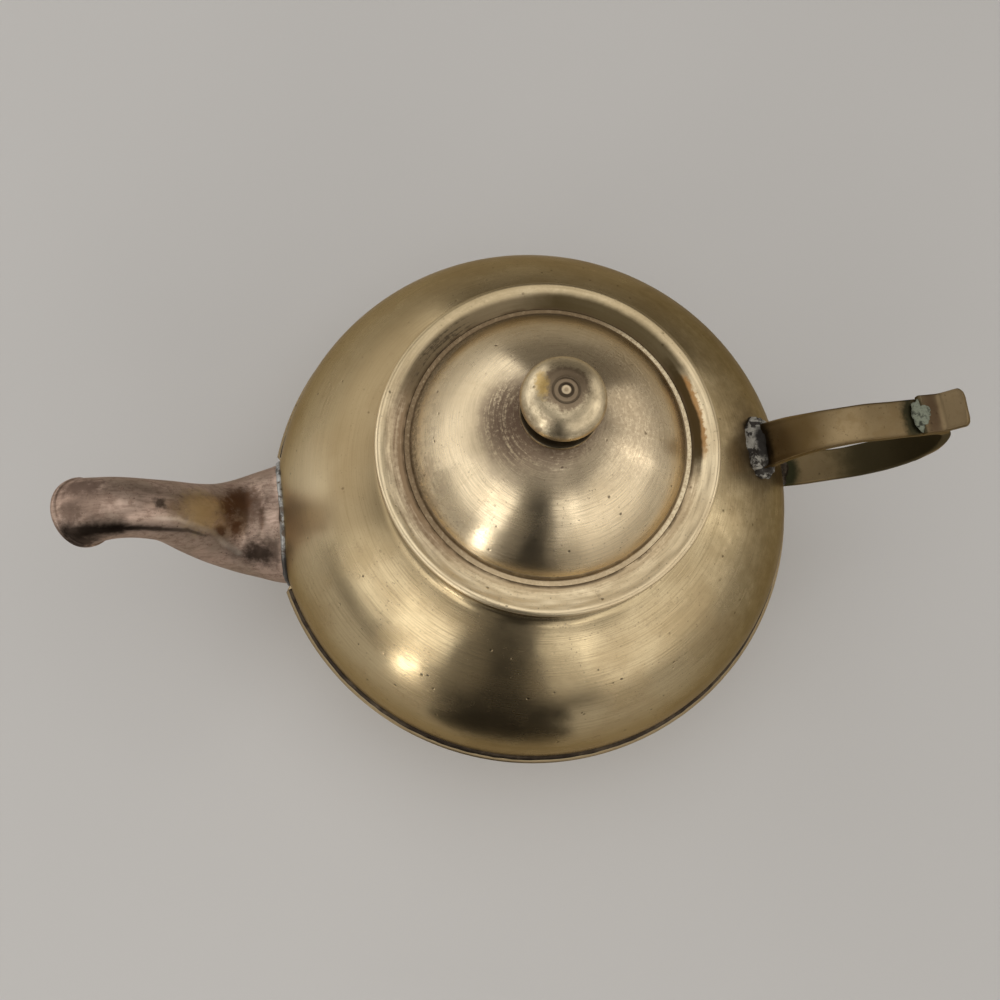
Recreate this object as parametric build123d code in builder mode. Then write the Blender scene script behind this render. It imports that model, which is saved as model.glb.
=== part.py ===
from build123d import *
import os
from math import cos, radians, sin, sqrt

os.makedirs("parts", exist_ok=True)

# An antique brass teapot, in millimetres, +Z up.
# The origin is on the table at the centre of the foot. The spout points to -X, the handle to +X.
# A height that ends in _rise is measured up from the seam between the two bowls.

# Bowls
body_radius = 63.3          # outside, at the seam
upper_rise = 44.0           # of the upper bowl's elliptical arc
lower_depth = 36.0          # of the lower bowl below the seam
base_flat_radius = 28.0     # the lower bowl's flat middle
body_wall = 1.2

# Seam: the lower bowl's edge is turned out and the upper bowl stands on it
seam_overhang = 1.7         # how far the turned-out edge stands proud of the bowls
seam_thickness = 1.2
seam_edge_round = 0.5
seam_run = 1.2              # width of the solder run on the turned-out edge
seam_run_height = 1.1

# Foot ring
foot_height = 4.0           # from the table to the lower bowl's flat middle
foot_radius = 42.0          # outside, on the table
foot_waist_radius = 39.5    # outside, where the ring meets the bowl
foot_wall = 1.8
foot_waist_height = 6.0     # from the table to where the ring begins to flare

# Neck and rim
neck_radius = 34.4          # outside
neck_cove = 4.0             # radius of the hollow between the shoulder and the neck
lip_rise = 48.0             # centre of the rounded lip
lip_round = 1.0             # radius of the lip's section
lip_overhang = 1.5          # how far the lip stands out from the neck
band_width = 4.8            # sloping band from the lip's centre in to the step
band_fall = 1.1             # how far that band falls
recess_depth = 1.2          # depth of the step that the lid lies in
ledge_thickness = 1.4
ledge_width = 1.9           # how far the ledge reaches in under the lid

# Lid
lid_gap = 0.3               # round the lid's flange in its recess, and round the locating ring
lid_wall = 1.2
flange_width = 1.3          # the narrow flat outside the dome
dome_step = 0.9             # the small step from the flange up to the dome
dome_height = 18.0          # from the step to the flat under the knob
dome_arc = 43.0             # radius of the dome's section
knob_seat = 5.4             # radius of the flat under the knob
bezel_depth = 5.2           # of the locating ring below the flange
bezel_wall = 1.2

# Knob
ball_radius = 7.9
ball_half_height = 5.15     # the ball is flattened
groove_radius = 5.2         # the groove between the ball and the collar
groove_height = 0.9
collar_radius = 7.5
collar_height = 1.3
collar_round = 0.5
knob_neck_radius = 4.7
knob_neck_height = 1.4
crown_cut = 0.35            # how much the ball's top is turned flat
crown_ring_radius = 2.4     # middle of the turned groove on that flat
crown_ring_width = 0.5
pip_radius = 0.85           # the centre mark inside that groove
pip_height = 0.25
stem_radius = 1.6
stem_head_radius = 2.4      # where the stem is peened over
stem_head_height = 0.8
stem_gap = 0.05
washer_radius = 4.5
washer_height = 0.8

# Spout
spout_wall = 1.2
mouth_roll = 0.4            # how far the rolled mouth stands out from the tube
mouth_roll_length = 1.6
mouth_roll_round = 0.7
strainer_hole = 3.2
strainer_pitch = 5.2
strainer_first_row = 4.6    # from the seam to the nearest row of holes
strainer_row_step = 4.6
bead_width = 1.3            # of the solder line round the spout's base

# Handle: one flat strap bent to an ear, with a tab on its outer end
strap_width = 7.8
strap_root_width = 10.8
strap_thickness = 2.0
strap_low_rise = 3.2        # middle of the strap where it meets the bowl above the seam
strap_reach = 30.3          # from the bowl's side to the middle of the strap's outermost point
strap_out_rise = 23.0       # height of the outermost point
strap_back_radius = 36.0    # of the stretch above that point
strap_back_turn = 23.0
strap_curl = 5.0            # radius of the outer top bend
strap_curl_turn = 65.0
arm_knee = (8.7, 39.5)      # reach and rise where the arm begins to bend down
arm_root = (-10.7, 29.3)    # reach and rise above the shoulder, where it runs straight in
arm_tail = 6.0              # length of that straight run, cut off by the bowl
tab_width = 8.6
tab_thickness = 1.8
tab_angle = 42.0
tab_reach = 19.4            # from the bowl's side to the tab's inner end
tab_foot = 3.6              # length of the tab that lies on the strap
tab_length = 4.2
tab_corner = 1.6
tab_bend = 3.0
root_mound = 7.0            # radius of the solder mound at the strap's upper end
low_mound = 5.8             # radius of the solder mound at its lower end
crust_length = 4.6          # of the solder lump across the tab's foot
crust_height = 3.6
crust_offset = 1.1          # of its middle from the tab's inner end
crust_round = 1.2
seat = 0.05                 # solder film between pieces that are joined for good

# Places that follow from the sizes above
seam_height = foot_height + lower_depth
seam_radius = body_radius + seam_overhang
lip_height = seam_height + lip_rise
lip_radius = neck_radius + lip_overhang - lip_round
rim_underside = lip_height - lip_round
neck_inside = neck_radius - body_wall
neck_top = rim_underside - seat
recess_floor = lip_height + lip_round - band_fall - recess_depth
ledge_radius = neck_inside - seat
ledge_underside = recess_floor - ledge_thickness
recess_radius = lip_radius - band_width
mouth_radius = recess_radius - ledge_width
lid_base = recess_floor + seat
flange_radius = recess_radius - lid_gap
flange_top = lid_base + lid_wall
dome_radius = flange_radius - flange_width
dome_base = flange_top + dome_step
dome_top = dome_base + dome_height
bezel_radius = mouth_radius - lid_gap
collar_base = dome_top + knob_neck_height
collar_top = collar_base + collar_height
ball_height = collar_top + groove_height + ball_half_height
stem_foot = dome_top - lid_wall - washer_height


def upper_bowl(grow, top):
    """The solid inside the upper bowl's outer surface, grown all round, up to a height."""
    with BuildPart() as solid:
        with BuildSketch(Plane.XZ) as face:
            with Locations((0, seam_height)):
                Ellipse(body_radius + grow, upper_rise + grow)
                Rectangle(neck_radius + grow, top - seam_height, align=(Align.MIN, Align.MIN))
                Rectangle(
                    2 * body_radius, top - seam_height, align=(Align.MIN, Align.MIN), mode=Mode.INTERSECT
                )
            neck_corners = face.vertices().filter_by_position(
                Axis.X, neck_radius + grow - seat / 2, neck_radius + grow + seat / 2
            )
            fillet(neck_corners.sort_by(Axis.Y)[0], neck_cove - grow)
        revolve(axis=Axis.Z)
    return solid.part


def lower_bowl(grow):
    """The solid inside the lower bowl's outer surface, grown all round."""
    with BuildPart() as solid:
        with BuildSketch(Plane.XZ):
            with Locations((base_flat_radius, seam_height)):
                Ellipse(body_radius - base_flat_radius + grow, lower_depth + grow)
            with Locations((0, seam_height)):
                Rectangle(base_flat_radius, lower_depth + grow, align=(Align.MIN, Align.MAX))
                Rectangle(
                    2 * body_radius, lower_depth + grow, align=(Align.MIN, Align.MAX), mode=Mode.INTERSECT
                )
        revolve(axis=Axis.Z)
    return solid.part


def both_bowls(grow):
    """Everything inside the outer surfaces of the two bowls and the neck."""
    with BuildPart() as solid:
        add(upper_bowl(grow, rim_underside))
        add(lower_bowl(grow))
    return solid.part


# Spout stations: reach from the bowl's side, rise above the seam, direction above level, width
spout_stations = (
    (-9.3, -2.0, 5, 30.4),
    (-0.8, -1.0, 8, 29.6),
    (5.2, 0.8, 18, 25.8),
    (11.2, 4.4, 42, 21.2),
    (15.7, 11.6, 66, 17.2),
    (19.3, 20.4, 64, 14.4),
    (24.2, 27.4, 42, 13.0),
    (29.2, 30.6, 18, 13.2),
    (33.2, 31.0, -8, 13.9),
    (36.6, 29.9, -34, 14.6),
)


def station_plane(reach, rise, direction):
    """A plane square to the spout's centre line, which points away from the bowl."""
    along = (-cos(radians(direction)), 0, sin(radians(direction)))
    return Plane(
        origin=(-(body_radius + reach), 0, seam_height + rise), x_dir=(0, 1, 0), z_dir=along
    )


def spout_solid(grow):
    """The spout's round, tapering swan neck, grown all round."""
    with BuildPart() as solid:
        for reach, rise, direction, width in spout_stations:
            with BuildSketch(station_plane(reach, rise, direction)):
                Circle(width / 2 + grow)
        loft()
    return solid.part


def strap_path():
    """The middle of the strap, from inside the bowl's side round to inside the shoulder."""
    low = seam_height + strap_low_rise
    outermost = (body_radius + strap_reach, seam_height + strap_out_rise)
    with BuildLine(Plane.XZ) as path:
        run = Line((body_radius - 4, low - 0.3), (body_radius + 11.7, low))
        bend = TangentArc(run @ 1, outermost, tangent=run % 1)
        back = JernArc(bend @ 1, bend % 1, radius=strap_back_radius, arc_size=strap_back_turn)
        curl = JernArc(back @ 1, back % 1, radius=strap_curl, arc_size=strap_curl_turn)
        knee = (body_radius + arm_knee[0], seam_height + arm_knee[1])
        arm = TangentArc(curl @ 1, knee, tangent=curl % 1)
        root = (body_radius + arm_root[0], seam_height + arm_root[1])
        shoulder = TangentArc(arm @ 1, root, tangent=arm % 1)
        Line(shoulder @ 1, shoulder @ 1 + arm_tail * (shoulder % 1))
    return path.line


def strap_solid(grow):
    """The handle's bent strap, wider towards its root on the shoulder, grown all round."""
    path = strap_path()
    half_width = strap_width / 2 + grow
    half_root = strap_root_width / 2 + grow
    with BuildPart() as solid:
        with BuildSketch(Plane(origin=path @ 0, x_dir=(0, 1, 0), z_dir=path % 0)):
            Rectangle(2 * half_root, strap_thickness + 2 * grow)
        sweep(path=path)
        with BuildSketch(Plane.XY.offset(seam_height)):
            with BuildLine():
                side = Line((2 * body_radius, half_width), (body_radius + 2.7, half_width + 0.3))
                flare = TangentArc(side @ 1, (body_radius - 13.3, half_root), tangent=side % 1)
                end = Line(flare @ 1, (body_radius / 2, half_root))
                Line(end @ 1, (body_radius / 2, 0))
                Line((body_radius / 2, 0), (2 * body_radius, 0))
                Line((2 * body_radius, 0), side @ 0)
            make_face()
            mirror(about=Plane.XZ)
        extrude(amount=2 * upper_rise, mode=Mode.INTERSECT)
    return solid.part


def tab_solid(grow):
    """The thumb tab: a short foot on the strap, a bend and a rising end, grown all round."""
    inner_end = body_radius + tab_reach
    foot_height_on_strap = max(
        (strap_path() @ (i / 200)).Z for i in range(201)
    ) + strap_thickness / 2 + seat + tab_thickness / 2
    with BuildPart() as solid:
        with BuildLine(Plane.XZ) as path:
            foot = Line(
                (inner_end - grow, foot_height_on_strap), (inner_end + tab_foot, foot_height_on_strap)
            )
            bend = JernArc(foot @ 1, foot % 1, radius=tab_bend, arc_size=tab_angle)
            Line(bend @ 1, bend @ 1 + (tab_length + grow) * (bend % 1))
        with BuildSketch(Plane(origin=path.line @ 0, x_dir=(0, 1, 0), z_dir=path.line % 0)):
            Rectangle(tab_width + 2 * grow, tab_thickness + 2 * grow)
        sweep(path=path.line)
        outer_end = solid.faces().sort_by(Axis.X)[-1]
        fillet(outer_end.edges().sort_by(SortBy.LENGTH)[:2], tab_corner)
    return solid.part


def seam_run_solid(grow):
    """The sloping solder run in the corner on the turned-out edge, grown outwards."""
    inner = body_radius - body_wall / 2
    top = seam_height + seam_run_height + grow
    with BuildPart() as solid:
        with BuildSketch(Plane.XZ):
            with BuildLine():
                Polyline(
                    (inner, seam_height),
                    (body_radius + seam_run + grow, seam_height),
                    (body_radius - seam_run / 4 + grow, top),
                    (inner, top),
                    close=True,
                )
            make_face()
        revolve(axis=Axis.Z)
    return solid.part


def strainer_holes(side):
    """Drills for the holes behind the spout, above the seam (side 1) or below it (side -1)."""
    with BuildPart() as drills:
        with BuildSketch(Plane.YZ.offset(-(body_radius + bead_width))):
            first = seam_height + side * strainer_first_row
            second = first + side * strainer_row_step
            near_row = [(strainer_pitch * (i - 1.5), first) for i in range(4)]
            far_row = [(strainer_pitch * (i - 1), second) for i in range(3)]
            with Locations(near_row + far_row):
                Circle(strainer_hole / 2)
        extrude(amount=body_radius / 2)
    return drills.part


def mound(reach, rise, radius):
    """A lump of solder half sunk in the upper bowl's surface, cut clear of what it joins."""
    across = (body_radius + reach) / body_radius**2
    up = rise / upper_rise**2
    sink = radius / 2 / sqrt(across**2 + up**2)
    with BuildPart() as solid:
        with Locations((body_radius + reach - sink * across, 0, seam_height + rise - sink * up)):
            Sphere(radius)
        add(outside, mode=Mode.SUBTRACT)
        add(seam_run_solid(seat), mode=Mode.SUBTRACT)
        add(strap_solid(seat), mode=Mode.SUBTRACT)
        split(bisect_by=Plane.XY.offset(seam_height), keep=Keep.TOP)
    return solid.part


def bowl_rise(reach):
    """Height above the seam of the upper bowl's surface at a reach from its side."""
    return upper_rise * sqrt(1 - ((body_radius + reach) / body_radius) ** 2)


outside = both_bowls(seat)
spout_clearance = spout_solid(bead_width + seat)

# Upper bowl: spun, with a short neck and the upper half of the strainer holes
with BuildPart() as body_upper:
    add(upper_bowl(0, neck_top))
    add(upper_bowl(-body_wall, lip_height), mode=Mode.SUBTRACT)
    add(strainer_holes(1), mode=Mode.SUBTRACT)

# Lower bowl: spun, with a turned-out edge that stops either side of the spout
with BuildPart() as body_lower:
    with BuildSketch(Plane.XZ):
        with Locations((0, seam_height - seat)):
            Rectangle(seam_radius, seam_thickness, align=(Align.MIN, Align.MAX))
        fillet(vertices().group_by(Axis.X)[-1], seam_edge_round)
    revolve(axis=Axis.Z)
    add(spout_clearance, mode=Mode.SUBTRACT)
    add(lower_bowl(0))
    add(lower_bowl(-body_wall), mode=Mode.SUBTRACT)
    add(strainer_holes(-1), mode=Mode.SUBTRACT)
    split(bisect_by=Plane.XY.offset(seam_height - seat), keep=Keep.BOTTOM)

# Solder run in the corner between the upper bowl and the turned-out edge
with BuildPart() as seam_solder:
    add(seam_run_solid(0))
    add(outside, mode=Mode.SUBTRACT)
    add(spout_clearance, mode=Mode.SUBTRACT)

# Foot ring: flared, soldered under the lower bowl
with BuildPart() as foot_ring:
    with BuildSketch(Plane.XZ):
        with BuildLine():
            stem = Line((foot_waist_radius, seam_height / 2), (foot_waist_radius, foot_waist_height))
            flare = TangentArc(stem @ 1, (foot_radius, 0), tangent=stem % 1)
            Polyline(
                flare @ 1,
                (foot_radius - foot_wall, 0),
                (foot_waist_radius - foot_wall, foot_waist_height),
                (foot_waist_radius - foot_wall, seam_height / 2),
                stem @ 0,
            )
        make_face()
    revolve(axis=Axis.Z)
    add(lower_bowl(seat), mode=Mode.SUBTRACT)

# Rim: a thick ring on the neck, with a rounded lip, a sloping band and the step for the lid
with BuildPart() as neck_rim:
    with BuildSketch(Plane.XZ):
        with BuildLine():
            Polyline(
                (mouth_radius, ledge_underside),
                (ledge_radius, ledge_underside),
                (ledge_radius, rim_underside),
                (lip_radius, rim_underside),
                (lip_radius, lip_height + lip_round),
                (recess_radius, recess_floor + recess_depth),
                (recess_radius, recess_floor),
                (mouth_radius, recess_floor),
                close=True,
            )
        make_face()
        with Locations((lip_radius, lip_height)):
            Circle(lip_round)
    revolve(axis=Axis.Z)

# Spout: a raised and tapered tube with a rolled mouth, open into the bowl's strainer holes
mouth_reach, mouth_rise, mouth_direction, mouth_width = spout_stations[-1]
with BuildPart() as rolled_mouth:
    with BuildSketch(station_plane(mouth_reach, mouth_rise, mouth_direction)):
        Circle(mouth_width / 2 + mouth_roll)
        Circle(mouth_width / 2 - spout_wall, mode=Mode.SUBTRACT)
    extrude(amount=mouth_roll_length)
    outer_edges = rolled_mouth.edges().filter_by(GeomType.CIRCLE).sort_by(SortBy.RADIUS)[-2:]
    fillet(outer_edges, mouth_roll_round)

with BuildPart() as spout:
    add(spout_solid(0))
    add(spout_solid(-spout_wall), mode=Mode.SUBTRACT)
    add(outside, mode=Mode.SUBTRACT)
    add(rolled_mouth.part)

# Solder line round the spout's base
with BuildPart() as spout_solder:
    add(spout_solid(bead_width))
    add(both_bowls(bead_width), mode=Mode.INTERSECT)
    add(spout_solid(seat), mode=Mode.SUBTRACT)
    add(outside, mode=Mode.SUBTRACT)

# Handle strap, its tab and the solder that holds them
with BuildPart() as handle_strap:
    add(strap_solid(0))
    add(outside, mode=Mode.SUBTRACT)

with BuildPart() as thumb_piece:
    add(tab_solid(0))
    add(strap_solid(seat), mode=Mode.SUBTRACT)

with BuildPart() as thumb_solder:
    with BuildSketch(Plane.XZ):
        with Locations(
            (body_radius + tab_reach + crust_offset, seam_height + arm_knee[1] + strap_thickness)
        ):
            Ellipse(crust_length / 2, crust_height / 2)
    extrude(amount=tab_width / 2, both=True)
    fillet(edges().group_by(Axis.Y)[0] + edges().group_by(Axis.Y)[-1], crust_round)
    add(tab_solid(seat), mode=Mode.SUBTRACT)
    add(strap_solid(seat), mode=Mode.SUBTRACT)

with BuildPart() as handle_top_solder:
    add(mound(arm_root[0] - 2.2, bowl_rise(arm_root[0] - 2.2), root_mound))

with BuildPart() as handle_lower_solder:
    add(mound(0, strap_low_rise, low_mound))

# Lid: a spun dome with a flat flange that lies in the rim's step
chord_across = dome_radius - knob_seat
chord = sqrt(chord_across**2 + dome_height**2)
arc_depth = sqrt(dome_arc**2 - chord**2 / 4)
dome_centre = (
    (dome_radius + knob_seat) / 2 - arc_depth * dome_height / chord,
    dome_base + dome_height / 2 - arc_depth * chord_across / chord,
)


def under_dome(arc, radius, top):
    """The solid under the dome's arc, out to a radius and up to a height."""
    with BuildPart() as solid:
        with BuildSketch(Plane.XZ):
            with Locations(dome_centre):
                Circle(arc)
            with Locations((0, lid_base)):
                Rectangle(radius, top - lid_base, align=(Align.MIN, Align.MIN), mode=Mode.INTERSECT)
        revolve(axis=Axis.Z)
    return solid.part


with BuildPart() as lid_dome:
    with BuildSketch(Plane.XY.offset(lid_base)):
        Circle(flange_radius)
    extrude(amount=lid_wall)
    add(under_dome(dome_arc, dome_radius, dome_top))
    add(under_dome(dome_arc - lid_wall, dome_radius - lid_wall, dome_top - lid_wall), mode=Mode.SUBTRACT)
    with Locations((0, 0, dome_top)):
        Hole(stem_radius + stem_gap)

with BuildPart() as lid_bezel:
    with BuildSketch(Plane.XY.offset(lid_base)):
        Circle(bezel_radius)
        Circle(bezel_radius - bezel_wall, mode=Mode.SUBTRACT)
    extrude(amount=-bezel_depth)

# Knob: turned in one piece with its stem, which is peened over under a washer
with BuildPart() as knob:
    with BuildSketch(Plane.XZ):
        with Locations((0, ball_height)):
            Ellipse(ball_radius, ball_half_height)
        with Locations((0, ball_height + ball_half_height - crown_cut)):
            Rectangle(
                2 * ball_radius, ball_half_height, align=(Align.CENTER, Align.MIN), mode=Mode.SUBTRACT
            )
            with Locations((crown_ring_radius, 0)):
                Rectangle(crown_ring_width, crown_ring_width, mode=Mode.SUBTRACT)
            Rectangle(pip_radius, pip_height, align=(Align.MIN, Align.MIN))
        with Locations((0, collar_top)):
            Rectangle(groove_radius, ball_half_height, align=(Align.MIN, Align.MIN))
        with Locations((0, collar_base + collar_height / 2)):
            RectangleRounded(2 * collar_radius, collar_height, collar_round)
        with Locations((0, dome_top)):
            Rectangle(knob_neck_radius, knob_neck_height + collar_height / 2, align=(Align.MIN, Align.MIN))
            Rectangle(stem_radius, dome_top - stem_foot, align=(Align.MIN, Align.MAX))
        with Locations((0, stem_foot)):
            Rectangle(stem_head_radius, stem_head_height, align=(Align.MIN, Align.MAX))
        with Locations((0, stem_foot)):
            Rectangle(
                2 * ball_radius, 4 * ball_radius, align=(Align.MIN, Align.CENTER), mode=Mode.INTERSECT
            )
    revolve(axis=Axis.Z)

with BuildPart() as knob_washer:
    with BuildSketch(Plane.XY.offset(stem_foot)):
        Circle(washer_radius)
        Circle(stem_radius + stem_gap, mode=Mode.SUBTRACT)
    extrude(amount=washer_height)

pieces = {
    "body_upper": body_upper,
    "body_lower": body_lower,
    "seam_solder": seam_solder,
    "foot_ring": foot_ring,
    "neck_rim": neck_rim,
    "spout": spout,
    "spout_solder": spout_solder,
    "handle_strap": handle_strap,
    "thumb_piece": thumb_piece,
    "thumb_solder": thumb_solder,
    "handle_top_solder": handle_top_solder,
    "handle_lower_solder": handle_lower_solder,
    "lid_dome": lid_dome,
    "lid_bezel": lid_bezel,
    "knob": knob,
    "knob_washer": knob_washer,
}
for name, piece in pieces.items():
    piece.part.label = name
    export_step(piece.part, f"parts/{name}.step")
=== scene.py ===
import math

import bmesh
import bpy
from mathutils import Matrix, Vector, noise


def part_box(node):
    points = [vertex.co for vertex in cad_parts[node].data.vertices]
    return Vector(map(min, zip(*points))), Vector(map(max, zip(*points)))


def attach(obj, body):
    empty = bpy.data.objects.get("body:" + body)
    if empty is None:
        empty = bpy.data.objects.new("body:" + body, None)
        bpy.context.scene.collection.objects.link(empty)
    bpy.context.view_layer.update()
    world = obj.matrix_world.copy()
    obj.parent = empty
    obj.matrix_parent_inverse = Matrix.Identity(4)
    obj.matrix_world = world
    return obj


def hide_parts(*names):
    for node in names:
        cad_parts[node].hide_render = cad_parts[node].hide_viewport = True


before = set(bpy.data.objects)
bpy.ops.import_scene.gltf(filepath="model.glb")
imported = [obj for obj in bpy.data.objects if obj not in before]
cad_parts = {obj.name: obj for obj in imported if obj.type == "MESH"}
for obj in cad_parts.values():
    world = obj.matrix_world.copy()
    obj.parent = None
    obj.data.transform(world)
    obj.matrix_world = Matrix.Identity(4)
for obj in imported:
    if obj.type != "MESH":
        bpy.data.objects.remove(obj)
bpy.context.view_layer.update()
mm = 0.001

# Sizes read from the frame
seam_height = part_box("body_upper")[0].z
neck_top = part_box("body_upper")[1].z
body_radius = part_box("body_upper")[1].x
seam_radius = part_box("body_lower")[1].x
foot_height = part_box("body_lower")[0].z
foot_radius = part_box("foot_ring")[1].x
rim_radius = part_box("neck_rim")[1].x
rim_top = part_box("neck_rim")[1].z
ledge_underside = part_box("neck_rim")[0].z
flange_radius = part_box("lid_dome")[1].x
lid_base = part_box("lid_dome")[0].z
dome_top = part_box("lid_dome")[1].z
bezel_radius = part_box("lid_bezel")[1].x
bezel_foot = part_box("lid_bezel")[0].z
ball_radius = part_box("knob")[1].x
knob_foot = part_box("knob")[0].z
knob_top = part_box("knob")[1].z

# Other sizes of the pot
upper_rise = 44.0 * mm
base_flat_radius = 28.0 * mm
body_wall = 1.2 * mm
seam_thickness = 1.2 * mm
neck_radius = 34.4 * mm
neck_cove = 4.0 * mm
foot_waist_radius = 39.5 * mm
foot_waist_height = 6.0 * mm
foot_wall = 1.8 * mm
lip_round = 1.0 * mm
band_width = 4.8 * mm
band_fall = 1.1 * mm
recess_depth = 1.2 * mm
ledge_width = 1.9 * mm
lid_wall = 1.2 * mm
flange_width = 1.3 * mm
dome_step = 0.9 * mm
dome_arc = 43.0 * mm
knob_seat = 5.4 * mm
bezel_wall = 1.2 * mm
stem_hole = 1.65 * mm

lip_height = rim_top - lip_round
lip_radius = rim_radius - lip_round
recess_radius = lip_radius - band_width
recess_floor = lip_height + lip_round - band_fall - recess_depth
mouth_radius = recess_radius - ledge_width
dome_radius = flange_radius - flange_width
flange_top = lid_base + lid_wall
dome_base = flange_top + dome_step
lower_depth = seam_height - foot_height

# How finely the surfaces are divided
turns = 256
fine_turns = 160


def add_camera():
    """The photograph's view, from nearly straight above and a little in front."""
    place = Vector((-26.15, -57.15, 285.32)) * mm
    target = Vector((-7.81, 0.43, 39.4)) * mm
    level = Vector((0.4226, 0.9063, 0.0))
    roll = 0.331
    forward = (target - place).normalized()
    right = forward.cross(level).normalized()
    up = right.cross(forward)
    turned_right = math.cos(roll) * right + math.sin(roll) * up
    turned_up = math.cos(roll) * up - math.sin(roll) * right
    data = bpy.data.cameras.new("camera")
    data.sensor_width = 36.0
    data.lens = 36.0
    data.clip_start = 0.01
    camera = bpy.data.objects.new("camera", data)
    bpy.context.scene.collection.objects.link(camera)
    axes = Matrix((turned_right, turned_up, -forward)).transposed()
    camera.matrix_world = Matrix.Translation(place) @ axes.to_4x4()
    bpy.context.scene.camera = camera


def show(name, mesh):
    """A new object for a mesh, with smooth shading."""
    obj = bpy.data.objects.new(name, mesh)
    bpy.context.scene.collection.objects.link(obj)
    mesh.shade_smooth()
    return obj


def skin(name, rings, around=True, loop=False, caps=False):
    """A surface through rings of points; around closes each ring, loop joins the last ring to the first."""
    count = len(rings[0])
    bm = bmesh.new()
    rows = [[bm.verts.new(p) for p in ring] for ring in rings]
    pairs = list(zip(rows, rows[1:] + rows[:1])) if loop else list(zip(rows, rows[1:]))
    for low, high in pairs:
        for i in range(count if around else count - 1):
            k = (i + 1) % count
            bm.faces.new((low[i], low[k], high[k], high[i]))
    if caps:
        bm.faces.new(rows[0])
        bm.faces.new(rows[-1])
    bmesh.ops.remove_doubles(bm, verts=bm.verts, dist=1e-6)
    bmesh.ops.recalc_face_normals(bm, faces=bm.faces)
    mesh = bpy.data.meshes.new(name)
    bm.to_mesh(mesh)
    bm.free()
    return show(name, mesh)


def lathe(name, profile, steps=turns, closed=True, warp=None):
    """A surface of revolution about Z; profile is a list of (radius, height)."""
    rings = []
    for j in range(steps):
        angle = 2 * math.pi * j / steps
        ring = []
        for r, z in profile:
            if warp:
                r, z = warp(r, z, angle)
            ring.append(Vector((r * math.cos(angle), r * math.sin(angle), z)))
        rings.append(ring)
    return skin(name, rings, around=closed, loop=True)


def arc(centre, rx, rz, start, end, count):
    """Points on an ellipse from one angle to another, in degrees."""
    points = []
    for i in range(count + 1):
        a = math.radians(start + (end - start) * i / count)
        points.append((centre[0] + rx * math.cos(a), centre[1] + rz * math.sin(a)))
    return points


def divided(a, b, step):
    """Points from a up to but not including b, no further apart than a step."""
    count = max(1, math.ceil(math.dist(a, b) / step))
    return [(a[0] + (b[0] - a[0]) * i / count, a[1] + (b[1] - a[1]) * i / count) for i in range(count)]


def softened(corners, closed=True, step=1.5 * mm):
    """A profile through corners (radius, height, rounding), with each corner rounded off."""
    points = []
    count = len(corners)
    for i, (x, z, size) in enumerate(corners):
        here = Vector((x, z))
        before = Vector(corners[i - 1][:2])
        after = Vector(corners[(i + 1) % count][:2])
        if size == 0 or (not closed and i in (0, count - 1)):
            points.append((x, z))
            continue
        cut_in = min(size, 0.45 * (before - here).length)
        cut_out = min(size, 0.45 * (after - here).length)
        start = here + (before - here).normalized() * cut_in
        end = here + (after - here).normalized() * cut_out
        for k in range(5):
            t = k / 4
            p = start * (1 - t) ** 2 + here * 2 * t * (1 - t) + end * t**2
            points.append((p.x, p.y))
    spread = []
    last = points[0] if closed else None
    following = points[1:] + ([last] if closed else [])
    for a, b in zip(points, following):
        spread += divided(a, b, step)
    if not closed:
        spread.append(points[-1])
    return spread


def applied(obj, modifier):
    """Bakes a modifier into the object's mesh."""
    graph = bpy.context.evaluated_depsgraph_get()
    mesh = bpy.data.meshes.new_from_object(obj.evaluated_get(graph))
    obj.modifiers.remove(modifier)
    obj.data = mesh


def trimmed(obj, cutter, keep_cutter=True):
    """Cuts one closed surface out of another."""
    modifier = obj.modifiers.new("trim", "BOOLEAN")
    modifier.operation = "DIFFERENCE"
    modifier.solver = "EXACT"
    modifier.object = cutter
    applied(obj, modifier)
    obj.data.shade_smooth()
    obj.data.set_sharp_from_angle(angle=math.radians(40))
    if not keep_cutter:
        bpy.data.objects.remove(cutter)


def bowl_radius(z, inset=0.0):
    """The bowls' outer radius at a height, less an inset."""
    if z >= seam_height:
        share = min(1.0, (z - seam_height) / (upper_rise - inset))
        return (body_radius - inset) * math.sqrt(1 - share**2)
    share = min(1.0, (seam_height - z) / (lower_depth - inset))
    return base_flat_radius + (body_radius - inset - base_flat_radius) * math.sqrt(1 - share**2)


def upper_curve(inset, count):
    """The upper bowl's curve from the seam up, through the cove, to the neck's top."""
    a = body_radius - inset
    b = upper_rise - inset
    neck = neck_radius - inset
    cove = neck_cove + inset
    r = neck + cove / 2
    for _ in range(20):
        lift = b * math.sqrt(1 - (r / a) ** 2)
        slope = Vector((r / a**2, lift / b**2)).normalized()
        r = neck + cove - cove * slope.x
    last = math.degrees(math.atan2(lift / b, r / a))
    bowl = arc((0, seam_height), a, b, 0, last, count)
    turn = math.degrees(math.atan2(slope.y, slope.x))
    centre = (neck + cove, seam_height + lift + cove * slope.y)
    hollow = arc(centre, cove, cove, turn + 180, 180, 10)
    return bowl + hollow[1:] + [(neck, neck_top)]


def lower_curve(inset, count):
    """The lower bowl's curve from the seam down to the middle of its flat."""
    centre = (base_flat_radius, seam_height)
    bowl = arc(centre, body_radius - inset - base_flat_radius, lower_depth - inset, 0, -90, count)
    return bowl + divided((base_flat_radius, foot_height + inset), (0, foot_height + inset), 4 * mm)[1:] + [
        (0, foot_height + inset)
    ]


def hollow_shape(name, inset):
    """The space inside the bowls' outer surfaces, to cut other pieces with."""
    upper = upper_curve(inset, 48)
    lower = lower_curve(inset, 40)
    profile = lower[::-1] + upper[1:] + [(0, neck_top)]
    return lathe(name, profile, steps=192, closed=False)


# Spout

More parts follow.
